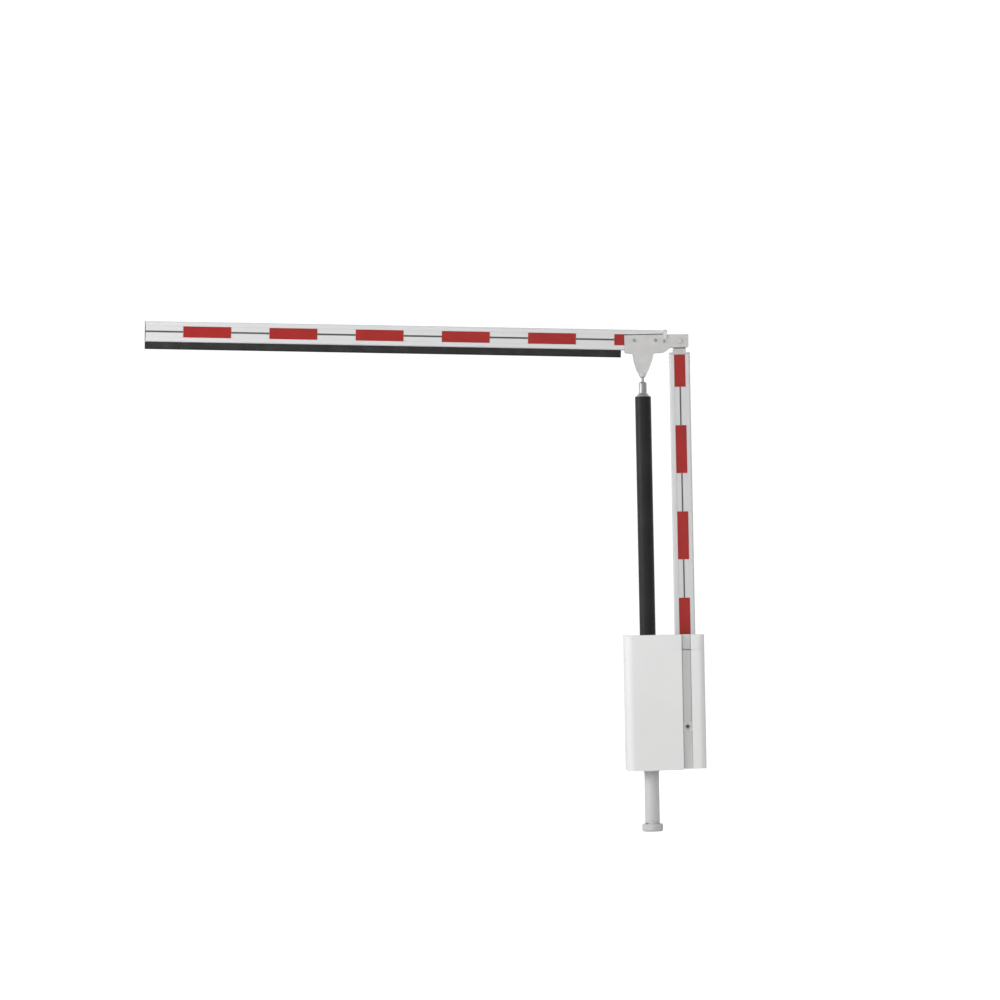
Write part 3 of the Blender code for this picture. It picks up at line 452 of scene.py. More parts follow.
def hexagon(radius, height, segments=24):
    """Points on a hexagon's sides. radius is to its corners."""
    points = []
    for step in range(segments):
        angle = 2 * math.pi * step / segments
        reach = radius * math.cos(math.pi / 6) / math.cos(angle % (math.pi / 3) - math.pi / 6)
        points.append((reach * math.cos(angle), reach * math.sin(angle), height))
    return points


def lathe(bm, profile, matrix, segments=32):
    loft(bm, [circle(radius, height, segments) for radius, height in profile], matrix)


def hoop(bm, loop, matrix, segments=48):
    """A closed (radius, height) loop turned right round."""
    rows = [[bm.verts.new(matrix @ Vector(point)) for point in circle(*corner, segments)] for corner in loop]
    for first, second in zip(rows, rows[1:] + rows[:1]):
        for index in range(segments):
            bm.faces.new((first[index - 1], first[index], second[index], second[index - 1]))


def slab(bm, outline, low, high, matrix, edge=0.0008, segments=2):
    """An outline extruded along the local z, with its sharp edges rounded."""
    made = bmesh.new()
    loft(made, [[(x, y, end) for x, y in outline] for end in (low, high)], Matrix.Identity(4))
    bmesh.ops.recalc_face_normals(made, faces=made.faces)
    if edge:
        sharp = [line for line in made.edges if line.calc_face_angle(0) > math.radians(30)]
        bmesh.ops.bevel(made, geom=sharp, offset=edge, segments=segments, profile=0.5, affect="EDGES")
    made.transform(matrix)
    mesh = bpy.data.meshes.new("slab")
    made.to_mesh(mesh)
    made.free()
    bm.from_mesh(mesh)
    bpy.data.meshes.remove(mesh)


def rectangle(width, height, x=0.0, y=0.0):
    half, tall = width / 2, height / 2
    return [(x - half, y - tall), (x + half, y - tall), (x + half, y + tall), (x - half, y + tall)]


def rounded(width, height, radius, x=0.0, y=0.0, steps=5):
    """A rectangle with rounded corners."""
    outline = []
    for turn, (side, up) in enumerate(((1, 1), (-1, 1), (-1, -1), (1, -1))):
        for step in range(steps + 1):
            angle = math.radians(90 * (turn + step / steps))
            corner_x = x + side * (width / 2 - radius)
            corner_y = y + up * (height / 2 - radius)
            outline.append((corner_x + radius * math.cos(angle), corner_y + radius * math.sin(angle)))
    return outline


def washer(bm, matrix, inner, outer, thickness):
    edge = thickness * 0.25
    loop = [(inner, 0), (outer, 0), (outer, thickness - edge), (outer - edge, thickness), (inner, thickness)]
    hoop(bm, loop, matrix, 24)


def hex_bolt(bm, matrix, size, base=0.0):
    """A washer and a chamfered hex head. size is the thread's diameter."""
    plate = 0.18 * size
    washer(bm, matrix @ Matrix.Translation((0, 0, base)), size * 0.5, size * 1.0, plate)
    bottom, top = base + plate, base + plate + 0.6 * size
    rings = [hexagon(size * 0.86, bottom), hexagon(size * 0.86, top - 0.10 * size)]
    rings += [circle(size * 0.76, top), circle(size * 0.30, top)]
    loft(bm, rings, matrix)


def hex_nut(bm, matrix, size, base=0.0):
    """A washer, a nut and the end of the bolt in it."""
    hex_bolt(bm, matrix, size, base)
    face = base + 0.78 * size
    thread = [(0.5, -0.1), (0.5, 0.18), (0.4, 0.3)]
    lathe(bm, [(size * radius, face + size * rise) for radius, rise in thread], matrix, 20)


def socket_screw(bm, matrix, size, base=0.0):
    """A cylinder head with a hexagon socket."""
    radius, tall, edge = size * 0.75, size * 0.75, size * 0.08
    rings = [circle(radius, base), circle(radius, base + tall - edge), circle(radius - edge, base + tall)]
    rings += [hexagon(size * 0.42, base + tall), hexagon(size * 0.40, base + tall * 0.45)]
    loft(bm, rings, matrix)


def button_screw(bm, matrix, size, base=0.0):
    """A domed head with a hexagon socket."""
    radius, tall = size * 0.95, size * 0.5
    rings = [circle(radius, base), circle(radius, base + 0.12 * tall)]
    for angle in (30, 50, 65):
        turn = math.radians(angle)
        rings.append(circle(radius * math.cos(turn) ** 0.7, base + tall * math.sin(turn)))
    rings += [hexagon(size * 0.34, base + tall * 0.93), hexagon(size * 0.32, base + tall * 0.4)]
    loft(bm, rings, matrix)


def rivet(bm, matrix, radius):
    rings = [circle(radius, 0, 20), circle(radius, radius * 0.08, 20)]
    for angle in (25, 50, 72, 86):
        turn = math.radians(angle)
        rings.append(circle(radius * math.cos(turn), radius * (0.08 + 0.38 * math.sin(turn)), 20))
    loft(bm, rings, matrix)


def piece(name, bm, finish, body):
    """The finished object, which rides on a body."""
    bmesh.ops.recalc_face_normals(bm, faces=bm.faces)
    mesh = bpy.data.meshes.new(name)
    bm.to_mesh(mesh)
    bm.free()
    mesh.shade_smooth()
    mesh.set_sharp_from_angle(angle=math.radians(32))
    mesh.materials.append(finish)
    made = bpy.data.objects.new(name, mesh)
    bpy.context.scene.collection.objects.link(made)
    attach(made, body)
    return made


def own(name, bm, slot, body):
    """A piece whose finish is that of one of the record's slots."""
    return piece(name, bm, FINISHES[slot], body)


# Foot and cabinet


def foot_bolts():
    """Four floor bolts over the foot's holes, with plain washers under their heads."""
    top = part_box("foot_flange")[1].z
    bm = bmesh.new()
    pitch_radius, size = 0.0443, 0.0073
    for index in range(4):
        angle = math.radians(45 + 90 * index)
        place = (pitch_radius * math.cos(angle), pitch_radius * math.sin(angle), top)
        hex_bolt(bm, at(LEVEL, *place), size, GAP)
    own("foot_bolts", bm, "zinc_steel", "base")


def groove_cover():
    """A ridged cover on the groove's floor, below the lock. It rises towards its foot, most at its right."""
    bottom, top = COLUMN_LOW.z + 0.002, LOCK.z - 0.020
    left, right, ridge = GROOVE_LEFT + 0.004, GROOVE_RIGHT - 0.0020, LOCK.x - 0.001
    back = GROOVE_FACE - SEAT
    heights = (
        (0.00, 0.0012, 0.0026, 0.0012),
        (0.35, 0.0012, 0.0030, 0.0018),
        (0.70, 0.0014, 0.0050, 0.0055),
        (1.00, 0.0016, 0.0075, 0.0110),
    )
    rings = []
    for way_down, left_edge, middle, right_edge in heights:
        z = top + way_down * (bottom - top)
        section = [(left, 0), (right, 0), (right, right_edge), (ridge, middle), (left, left_edge)]
        rings.append([(x, back - out, z) for x, out in section])
    bm = bmesh.new()
    loft(bm, rings, LEVEL)
    piece("groove_cover", bm, GROOVE_GREY, "base")
    screws = bmesh.new()
    for z in (bottom + 0.100, top - 0.012):
        button_screw(screws, at(FRONT, left + 0.006, back - 0.0022, z), 0.0025)
    own("groove_cover_screws", screws, "white_coat", "base")


def groove_lining():
    """A thin grey lining on the groove's floor, and a sealing bead along both sides of it."""
    bottom, top = LOCK.z + 0.020, HEAD_HIGH.z - 0.001
    gap_low, gap_high = COLUMN_HIGH.z - 0.001, HEAD_LOW.z + 0.001
    width, middle = GROOVE_RIGHT - GROOVE_LEFT - 0.0124, (GROOVE_LEFT + GROOVE_RIGHT) / 2 - 0.0007
    lining = bmesh.new()
    for low, high in ((bottom, gap_low), (gap_high, top)):
        outline = rectangle(width, high - low, middle, (low + high) / 2)
        slab(lining, outline, 0.0002, 0.0009, at(FRONT, 0, GROOVE_FACE, 0), 0.0002, 1)
    piece("groove_lining", lining, GROOVE_GREY, "base")
    bm = bmesh.new()
    for x in (GROOVE_LEFT + 0.0032, GROOVE_RIGHT - 0.0046):
        section = [(x - 0.0022, 0.0002), (x + 0.0022, 0.0002), (x + 0.0012, 0.0022), (x - 0.0012, 0.0022)]
        outline = [(across, GROOVE_FACE - out) for across, out in section]
        slab(bm, outline, bottom, gap_low, LEVEL, 0.0003, 1)
        slab(bm, outline, gap_high, top, LEVEL, 0.0003, 1)
    own("groove_edge_beads", bm, "grey_coat", "base")


def lock_trim():
    """A raised ring with a flat rim on the groove's floor, and the dark dust cover on the lock itself."""
    bm = bmesh.new()
    loop = [(0.0108, 0.0002), (0.0196, 0.0002), (0.0195, 0.0008), (0.0144, 0.0009), (0.0137, 0.0014)]
    loop += [(0.0130, 0.0016), (0.0112, 0.0016)]
    hoop(bm, loop, at(FRONT, LOCK.x, GROOVE_FACE, LOCK.z))
    piece("lock_ring", bm, GROOVE_GREY, "base")
    cover = bmesh.new()
    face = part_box("lock_cylinder")[0].y
    loop = [(0.0014, 0.0001), (0.0064, 0.0001), (0.0062, 0.0007), (0.0056, 0.0011), (0.0016, 0.0011)]
    hoop(cover, loop, at(FRONT, LOCK.x, face, LOCK.z))
    own("lock_dust_cover", cover, "dark_plastic", "lock")


def column_seal():
    """The filler in the joint between the column's strip and its head. In the groove the joint is open."""
    joint = (COLUMN_HIGH.z + HEAD_LOW.z) / 2
    half = (HEAD_LOW.z - COLUMN_HIGH.z) / 2 - SEAT
    sink, thickness, bend = 0.0004, 0.0024, 0.030
    path = [(GROOVE_RIGHT + 0.0010, DOOR_LOW.y + sink)]
    for step in range(11):
        turn = math.radians(-90 + 90 * step / 10)
        radius = bend - sink
        across, back = radius * math.cos(turn), radius * math.sin(turn)
        path.append((COLUMN_HIGH.x - bend + across, DOOR_LOW.y + bend + back))
    path.append((COLUMN_HIGH.x - sink, -0.0925))
    outer = [Vector(point) for point in path]
    inner = []
    for index, point in enumerate(outer):
        ahead = (outer[min(index + 1, len(outer) - 1)] - outer[max(index - 1, 0)]).normalized()
        inner.append(point + Vector((-ahead.y, ahead.x)) * thickness)
    bm = bmesh.new()
    outline = [tuple(point) for point in outer + inner[::-1]]
    slab(bm, outline, joint - half, joint + half, LEVEL, 0.0)
    piece("column_joint_strip", bm, COLUMN_WHITE, "base")


def cabinet_screws():
    """Lid, floor and back-wall fixings."""
    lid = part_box("top_lid")[1].z
    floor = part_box("bottom_plate")[0].z
    screws = bmesh.new()
    for x in (HOUSING_LOW.x + 0.030, 0.075, HOUSING_HIGH.x - 0.030):
        for y in (-0.118, 0.118):
            button_screw(screws, at(LEVEL, x, y, lid + GAP), 0.005)
            button_screw(screws, at(Matrix.Rotation(math.pi, 4, "X"), x, y, floor - GAP), 0.005)
    own("cabinet_screws", screws, "zinc_steel", "base")
    rivets = bmesh.new()
    wall = HOUSING_HIGH.y
    for x in (HOUSING_LOW.x + 0.042, HOUSING_HIGH.x - 0.038):
        for index in range(7):
            rivet(rivets, at(BACK, x, wall, HOUSING_LOW.z + 0.035 + 0.1 * index), 0.0042)
    own("back_wall_rivets", rivets, "zinc_steel", "base")
    bolts = bmesh.new()
    low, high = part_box("link_anchor")
    for x in (low.x + 0.012, high.x - 0.012):
        for z in (low.z + 0.012, high.z - 0.012):
            hex_bolt(bolts, at(BACK, x, wall + 0.0064, z), 0.008)
    own("anchor_bolts", bolts, "zinc_steel", "base")


def door_lining():
    """What shows inside the door: a gasket, a stiffening channel, and the rivets of the channel."""
    inside = DOOR_LOW.y + SKIN
    left, right = DOOR_LOW.x + 0.050, GROOVE_LEFT - 0.008
    low, high = DOOR_LOW.z + 0.015, DOOR_HIGH.z - 0.014
    gasket = bmesh.new()
    middle_x, middle_z = (left + right) / 2, (low + high) / 2
    width, tall = right - left, high - low
    strip = 0.009
    runs = [rectangle(strip, tall, x, middle_z) for x in (left, right)]
    runs += [rectangle(width - strip, strip, middle_x, z) for z in (low, high)]
    for run in runs:
        slab(gasket, run, -0.0001, -0.0034, at(FRONT, 0, inside, 0), 0.001)
    own("door_gasket", gasket, "black_rubber", "door")
    channel = bmesh.new()
    section = [(-0.030, 0), (-0.018, 0), (-0.013, 0.011), (0.013, 0.011), (0.018, 0), (0.030, 0)]
    section += [(0.030, 0.0015), (0.0189, 0.0015), (0.0139, 0.0125), (-0.0139, 0.0125), (-0.0189, 0.0015)]
    section += [(-0.030, 0.0015)]
    outline = [(middle_x + x, inside + SEAT + y) for x, y in section]
    slab(channel, outline, low + 0.035, high - 0.035, LEVEL, 0.0003)
    own("door_channel", channel, "white_coat", "door")
    rivets = bmesh.new()
    for index in range(6):
        z = low + 0.055 + index * (tall - 0.11) / 5
        for side in (-0.024, 0.024):
            rivet(rivets, at(BACK, middle_x + side, inside + 0.0018, z), 0.0032)
    own("door_channel_rivets", rivets, "zinc_steel", "door")


def hinge_screws():
    for place in ("lower", "upper"):
        for half, body in (("fixed", "base"), ("door", "door")):
            low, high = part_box(f"hinge_{place}_{half}")
            bm = bmesh.new()
            tab = high.y - 0.008 if half == "fixed" else low.y + 0.008
            for z in (low.z + 0.006, low.z + 0.019):
                button_screw(bm, facing((high.x + GAP, tab, z), (1, 0, 0)), 0.003)
            own(f"hinge_{place}_{half}_screws", bm, "zinc_steel", body)


# Drive and controls inside the cabinet


def mast_fixings():
    low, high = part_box("mast_clamp_lower")
    bolts = bmesh.new()
    for x in (low.x + 0.009, high.x - 0.009):
        for z in (low.z + 0.011, high.z - 0.011):
            socket_screw(bolts, at(FRONT, x, low.y - GAP, z), 0.008)
    plate_low, plate_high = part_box("chassis_plate")
    for x in (plate_low.x + 0.016, plate_high.x - 0.016):
        for z in (plate_low.z + 0.030, 0.600, plate_high.z - 0.030):
            hex_bolt(bolts, at(FRONT, x, plate_low.y - GAP, z), 0.008)
    own("chassis_bolts", bolts, "zinc_steel", "base")


def gearbox_details():
    low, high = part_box("gearbox")
    middle = (low + high) / 2
    cover = bmesh.new()
    face = at(FRONT, middle.x, low.y - SEAT, middle.z)
    slab(cover, rounded(0.086, 0.076, 0.012), 0, 0.006, face, 0.0015)
    lathe(cover, [(0.027, 0.006), (0.027, 0.010), (0.024, 0.012), (0.010, 0.012)], face, 40)
    own("gearbox_cover", cover, "motor_paint", "base")
    screws = bmesh.new()
    for x in (-0.035, 0.035):
        for z in (-0.030, 0, 0.030):
            socket_screw(screws, face @ Matrix.Translation((x, z, 0.0061)), 0.005)
    own("gearbox_screws", screws, "zinc_steel", "base")
    ribs = bmesh.new()
    for side in (-1, 1):
        for index in range(4):
            y = low.y + 0.018 + index * 0.018
            rib = facing((middle.x + side * (high.x - middle.x + GAP), y, middle.z), (side, 0, 0))
            slab(ribs, rectangle(0.003, 0.072), 0, 0.0045, rib, 0.0008)
    own("gearbox_ribs", ribs, "motor_paint", "base")
    plug = bmesh.new()
    hex_bolt(plug, face @ Matrix.Translation((0, 0, 0.0121)), 0.009)
    piece("oil_plug", plug, BRASS, "base")


def motor_details():
    low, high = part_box("motor")
    middle = (low + high) / 2
    fins = bmesh.new()
    top, bottom = high.z - 0.016, high.z - 0.118
    count, case_radius = 30, 0.0439
    for index in range(count):
        angle = 2 * math.pi * index / count
        behind_box = abs(math.cos(angle)) < 0.34 and math.sin(angle) < 0
        if behind_box:
            continue
        out = Vector((math.cos(angle), math.sin(angle), 0))
        root = Vector((middle.x, middle.y, (top + bottom) / 2)) + out * case_radius
        slab(fins, rectangle(0.0018, top - bottom), 0, 0.0036, facing(root, out), 0.0004, 1)
    own("motor_fins", fins, "motor_paint", "base")
    case = bmesh.new()
    face = at(FRONT, middle.x, middle.y - 0.0425, (top + bottom) / 2 + 0.008)
    slab(case, rounded(0.056, 0.062, 0.007), 0, 0.020, face, 0.0012)
    slab(case, rounded(0.060, 0.066, 0.008), 0.0202, 0.0255, face, 0.0015)
    own("motor_terminal_box", case, "motor_paint", "base")
    screws = bmesh.new()
    for x in (-0.024, 0.024):
        for z in (-0.027, 0.027):
            button_screw(screws, face @ Matrix.Translation((x, z, 0.0256)), 0.0035)
    own("terminal_box_screws", screws, "zinc_steel", "base")
    grille = bmesh.new()
    under = at(Matrix.Rotation(math.pi, 4, "X"), middle.x, middle.y, low.z)
    section = [(0, 0.0002), (0.0028, 0.0002), (0.0024, 0.0016), (0.0004, 0.0016)]
    for radius in (0.010, 0.017, 0.024, 0.031):
        hoop(grille, [(radius + out, height) for out, height in section], under)
    own("fan_grille", grille, "dark_plastic", "base")


def bearing_details():
    bolts = bmesh.new()
    pitch_radius, size = 0.035, 0.007
    for index in range(6):
        angle = math.radians(30 + 60 * index)
        x, z = HUB.x + pitch_radius * math.cos(angle), HUB.z + pitch_radius * math.sin(angle)
        hex_bolt(bolts, at(FRONT, x, CHASSIS_FACE - GAP, z), size)
    own("bearing_bolts", bolts, "zinc_steel", "base")
    cover = bmesh.new()
    loop = [(0.0208, 0.0001), (0.0285, 0.0001), (0.0285, 0.0035), (0.0270, 0.0050), (0.0208, 0.0050)]
    hoop(cover, loop, at(FRONT, HUB.x, CHASSIS_FACE, HUB.z))
    own("bearing_seal", cover, "dark_plastic", "base")


def spring_anchor():
    """The post on the chassis that holds the fixed end of the torsion spring, and the spring's collar."""
    post = bmesh.new()
    profile = [(0.006, 0.0001), (0.006, 0.016), (0.005, 0.017)]
    lathe(post, profile, at(FRONT, HUB.x + 0.041, CHASSIS_FACE, HUB.z), 24)
    own("spring_post", post, "zinc_steel", "base")
    collar = bmesh.new()
    loop = [(0.0203, 0), (0.0245, 0), (0.0250, 0.0005), (0.0250, 0.0095), (0.0245, 0.0100), (0.0203, 0.0100)]
    collar_base = -0.0785
    hoop(collar, loop, at(FRONT, HUB.x, collar_base, HUB.z))
    own("spring_collar", collar, "zinc_steel", "arm")


def switch_details():
    """The button that the cam presses, and the screws that hold the switch."""
    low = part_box("limit_switch")[0]
    bm = bmesh.new()
    button = facing((low.x - 0.0003, low.y + 0.008, HUB.z + 0.003), (-1, 0, 0))
    lathe(bm, [(0.0028, 0), (0.0028, 0.0018), (0.0020, 0.0032), (0.0008, 0.0036)], button, 20)
    own("switch_plunger", bm, "bright_steel", "base")
    screws = bmesh.new()
    for z in (HUB.z - 0.018, HUB.z + 0.018):
        button_screw(screws, at(FRONT, low.x + 0.0095, low.y - GAP, z), 0.003)
    own("switch_screws", screws, "zinc_steel", "base")


def control_details():
    """The control unit's lid, keys, lamps and plug-in terminals."""
    low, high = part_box("control_unit")
    middle = (low + high) / 2
    face = at(FRONT, middle.x, low.y - SEAT, middle.z)
    lid = bmesh.new()
    slab(lid, rounded(0.168, 0.150, 0.006, 0, 0.034), 0, 0.005, face, 0.0012)
    own("control_lid", lid, "light_plastic", "base")
    panel = bmesh.new()
    slab(panel, rounded(0.120, 0.052, 0.004, 0, 0.060), 0.0051, 0.0062, face, 0.0004)
    own("control_panel", panel, "dark_plastic", "base")
    keys = bmesh.new()
    for index in range(4):
        key = face @ Matrix.Translation((-0.042 + 0.018 * index, 0.050, 0))
        lathe(keys, [(0.0050, 0.0063), (0.0050, 0.0074), (0.0042, 0.0082), (0.0010, 0.0082)], key, 24)
    own("control_keys", keys, "light_plastic", "base")
    for name, finish, places in (("green", LAMP_GREEN, (0, 1, 3)), ("red", LAMP_RED, (2,))):
        lamps = bmesh.new()
        for index in places:
            lamp = face @ Matrix.Translation((-0.042 + 0.018 * index, 0.072, 0))
            lathe(lamps, [(0.0022, 0.0063), (0.0021, 0.0075), (0.0014, 0.0084), (0.0004, 0.0087)], lamp, 16)
        piece(f"control_lamps_{name}", lamps, finish, "base")
    terminals = bmesh.new()
    screws = bmesh.new()
    for index in range(14):
        x = -0.072 + 0.0108 * index
        block = face @ Matrix.Translation((x, -0.072, 0))
        slab(terminals, rectangle(0.0098, 0.026), 0, 0.012, block, 0.0008)
        button_screw(screws, block @ Matrix.Translation((0, 0.005, 0.0121)), 0.0028)
    piece("control_terminals", terminals, GREEN_PLASTIC, "base")
    own("control_terminal_screws", screws, "zinc_steel", "base")
    corners = bmesh.new()
    for x in (-0.078, 0.078):
        for z in (-0.035, 0.103):
            button_screw(corners, face @ Matrix.Translation((x, z, 0.0051)), 0.0035)
    own("control_lid_screws", corners, "zinc_steel", "base")


def supply_details():
    low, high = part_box("power_supply")
    middle = (low + high) / 2
    face = at(FRONT, middle.x, low.y - SEAT, middle.z)
    slots = bmesh.new()
    for row in range(3):
        for index in range(12):
            outline = rounded(0.0075, 0.0028, 0.0013, -0.062 + 0.0100 * index, 0.012 - 0.010 * row)
            slab(slots, outline, 0, 0.0006, face, 0.0)
    own("supply_vents", slots, "dark_plastic", "base")
    block = bmesh.new()
    screws = bmesh.new()
    for index in range(5):
        x = high.x - 0.010 - 0.0095 * index
        slab(block, rectangle(0.0088, 0.012), 0, 0.013, at(LEVEL, x, low.y + 0.008, high.z + SEAT), 0.0008)
        button_screw(screws, at(LEVEL, x, low.y + 0.008, high.z + 0.0133), 0.0028)
    own("supply_terminals", block, "dark_plastic", "base")
    own("supply_terminal_screws", screws, "zinc_steel", "base")


def terminal_details():
    low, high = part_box("terminal_block")
    step = (high.x - low.x) / 14
    blocks = bmesh.new()
    screws = bmesh.new()
    for index in range(14):
        x = low.x + step * (index + 0.5)
        face = at(FRONT, x, low.y - SEAT, (low.z + high.z) / 2)
        slab(blocks, rounded(step - 0.0008, 0.034, 0.0012), 0, 0.009, face, 0.0006)
        for z in (-0.010, 0.010):
            button_screw(screws, face @ Matrix.Translation((0, z, 0.0091)), 0.0028)
    own("rail_terminals", blocks, "light_plastic", "base")
    own("rail_terminal_screws", screws, "zinc_steel", "base")


# Boom hub and inner boom


def hub_details():
    low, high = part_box("boom_holder")
    bolts = bmesh.new()
    for z in (low.z + 0.030, low.z + 0.098, high.z - 0.030):
        y = BOOM_LOW.y + 0.024
        hex_bolt(bolts, facing((low.x - GAP, y, z), (-1, 0, 0)), 0.008)
        hex_nut(bolts, facing((high.x + GAP, y, z), (1, 0, 0)), 0.008)
    own("holder_bolts", bolts, "zinc_steel", "arm")
    clamp_low, clamp_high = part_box("boom_clamp")
    screws = bmesh.new()
    for x in (clamp_low.x + 0.014, clamp_high.x - 0.014):
        for z in (clamp_low.z + 0.014, (clamp_low.z + clamp_high.z) / 2, clamp_high.z - 0.014):
            socket_screw(screws, at(BACK, x, clamp_high.y + GAP, z), 0.007)
    own("clamp_screws", screws, "zinc_steel", "arm")
    boss = bmesh.new()
    gear_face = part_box("drive_gear")[0].y
    loop = [(0.0204, 0.0001), (0.0300, 0.0001), (0.0300, 0.0110), (0.0288, 0.0122), (0.0204, 0.0122)]
    hoop(boss, loop, at(FRONT, HUB.x, gear_face, HUB.z))
    own("gear_boss", boss, "zinc_steel", "arm")
    shaft_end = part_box("main_shaft")[0].y
    cap = bmesh.new()
    hex_bolt(cap, at(FRONT, HUB.x, shaft_end - GAP, HUB.z), 0.010)
    own("shaft_end_bolt", cap, "zinc_steel", "arm")
    collar = bmesh.new()
    cam_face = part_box("limit_cam")[0].y
    loop = [(0.0206, 0.0001), (0.0280, 0.0001), (0.0280, 0.0050), (0.0270, 0.0060), (0.0206, 0.0060)]
    hoop(collar, loop, at(FRONT, HUB.x, cam_face, HUB.z))
    own("cam_collar", collar, "dark_plastic", "arm")


def boom_head_details():
    """Button screws that hold the head's plug, in both narrow sides of the boom."""
    screws = bmesh.new()
    for side, x in ((-1, BOOM_LOW.x), (1, BOOM_HIGH.x)):
        for drop in (0.014, 0.038):
            place = (x + side * GAP, (BOOM_LOW.y + BOOM_HIGH.y) / 2, BOOM_HIGH.z - drop)
            button_screw(screws, facing(place, (side, 0, 0)), 0.005)
    own("boom_head_screws", screws, "zinc_steel", "arm")


def tongue_shade_strips():
    """Painted shade: thin dark rubber strips across both faces of the head's tongue, just below the arms of
    the bracket, where the arms' shadow falls.
    """
    bm = bmesh.new()
    sunk, drop, tall = 0.002, 0.0370, 0.0030
    for face, y in ((FRONT, BOOM_LOW.y + sunk), (BACK, BOOM_HIGH.y - sunk)):
        place = at(face, HUB.x + 0.002, y, ELBOW.z - drop)
        slab(bm, rounded(0.058, tall, 0.0012), 0.0002, 0.0014, place, 0.0003, 1)
    piece("tongue_shade_strips", bm, SHADE_STRIP_RUBBER, "arm")


def slot_shade_strips():
    """Painted shade: dark T-shaped strips in the booms' front slots, between the reflectors, where the open
    slots' shade falls.
    """
    recess = BOOM_LOW.y + 0.0014
    inner = bmesh.new()
    tops = [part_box(f"inner_stripe_{index}")[0].z for index in (1, 2, 3, 4)]
    bottoms = [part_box(f"inner_stripe_{index}")[1].z for index in (2, 3, 4)] + [BOOM_LOW.z + 0.002]
    for top, bottom in zip(tops, bottoms):
        middle, tall = (top + bottom) / 2, top - bottom - 0.002
        slab(inner, rectangle(0.0066, tall, HUB.x, middle), 0, 0.0008, at(FRONT, 0, recess, 0), 0.0003, 1)
    piece("inner_slot_shade_strips", inner, SHADE_STRIP_RUBBER, "arm")
    outer = bmesh.new()
    under_bracket = -0.082
    starts = [OUTER_TIP + 0.004] + [FIRST_STRIPE + STRIPE_LENGTH + STRIPE_PITCH * index for index in range(6)]
    ends = [FIRST_STRIPE + STRIPE_PITCH * index for index in range(6)] + [under_bracket]
    face = OUTER @ at(FRONT, 0, recess, 0)
    for start, end in zip(starts, ends):
        if end - start > 0.01:
            outline = rectangle(end - start - 0.002, 0.0084, (start + end) / 2, 0)
            slab(outer, outline, 0, 0.0008, face, 0.0003, 1)
    piece("outer_slot_shade_strips", outer, SHADE_STRIP_RUBBER, "outer")


def bracket_shade_pad():
    """Painted shade: a thin dark rubber pad between the boom and the bracket. A narrow edge of it shows above
    the bracket as the shade line along the bracket's top edge.
    """
    bm = bmesh.new()
    left, right, bottom, top = -0.274, -0.084, 0.020, 0.0372
    outline = [(left, bottom), (right, bottom), (right, top), (left, top)]
    slab(bm, outline, 0.0001, 0.0004, at(FRONT, ELBOW.x, BOOM_LOW.y, ELBOW.z), 0.0)
    piece("bracket_shade_pad", bm, SHADE_STRIP_RUBBER, "outer")


# Outer boom, in its own tilted frame with the elbow as origin


def bracket_bolts():
    """Through bolts of the elbow brackets. They lie level with the elbow, and not along the tilted boom."""
    bolts = bmesh.new()
    nuts = bmesh.new()
    for reach, rise in ((-0.227, 0.006), (-0.1195, 0.005), (-0.077, -0.001)):
        x, z = ELBOW.x + reach, ELBOW.z + rise
        hex_bolt(bolts, at(FRONT, x, BRACKET_FRONT - GAP, z), 0.0070)
        hex_nut(nuts, at(BACK, x, BRACKET_BACK + GAP, z), 0.0070)
    own("bracket_bolts", bolts, "zinc_steel", "outer")
    own("bracket_nuts", nuts, "zinc_steel", "outer")


def pin_clips():
    """Retaining rings on the far ends of the elbow pin and the link's upper pin."""
    bm = bmesh.new()
    for place, radius in ((ELBOW, 0.0080), (LINK_TOP, 0.0060)):
        loop = [(radius + GAP, 0.0002), (radius + 0.0050, 0.0002), (radius + 0.0050, 0.0018)]
        loop += [(radius + 0.0040, 0.0026), (radius + GAP, 0.0026)]
        hoop(bm, loop, at(BACK, place.x, BRACKET_BACK, place.z))
    own("pin_rings", bm, "bright_steel", "outer")


def heel_rib():
    """The heel cap's rib, which laps over the bracket's plate."""
    front, plate, cap = BRACKET_FRONT - 0.0045, BRACKET_FRONT - 0.0003, BOOM_LOW.y - SEAT
    outline = [(front, 0.010), (plate, 0.010), (plate, 0.038), (cap, 0.038), (cap, 0.053)]
    outline += [(BOOM_LOW.y - 0.004, 0.053), (front, 0.046)]
    bm = bmesh.new()
    start, end = -0.0800, -0.0625
    slab(bm, outline, start, end, OUTER @ ALONG, 0.0008)
    own("heel_rib", bm, "boom_white", "outer")


def rubber_plugs():
    """Plugs that close both ends of the rubber edge's hollow."""
    low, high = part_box("rubber_edge")
    middle = (low.y + high.y) / 2
    bm = bmesh.new()
    width, tall, corner, hollow = 0.0222, 0.0282, 0.0080, -0.0703
    section = rounded(width, tall, corner, middle, hollow)
    thickness, near_bracket = 0.003, -0.2955
    for start in (OUTER_TIP + 0.0015, near_bracket):
        slab(bm, section, start, start + thickness, OUTER @ ALONG, 0.0008)
    own("rubber_edge_plugs", bm, "black_rubber", "outer")


# Link rod


def link_details():
    """Lock nuts on the two rod ends."""
    nuts = bmesh.new()
    from_eye = 0.0490
    for eye, way in ((LINK_TOP, -1), (LINK_BOTTOM, 1)):
        seat = facing((eye.x, eye.y, eye.z + way * from_eye), (0, 0, -way))
        rings = [circle(0.0128, 0.0), hexagon(0.0150, 0.0012)]
        rings += [hexagon(0.0150, 0.0068), circle(0.0128, 0.0080)]
        loft(nuts, rings, seat)
    own("rod_lock_nuts", nuts, "zinc_steel", "link")


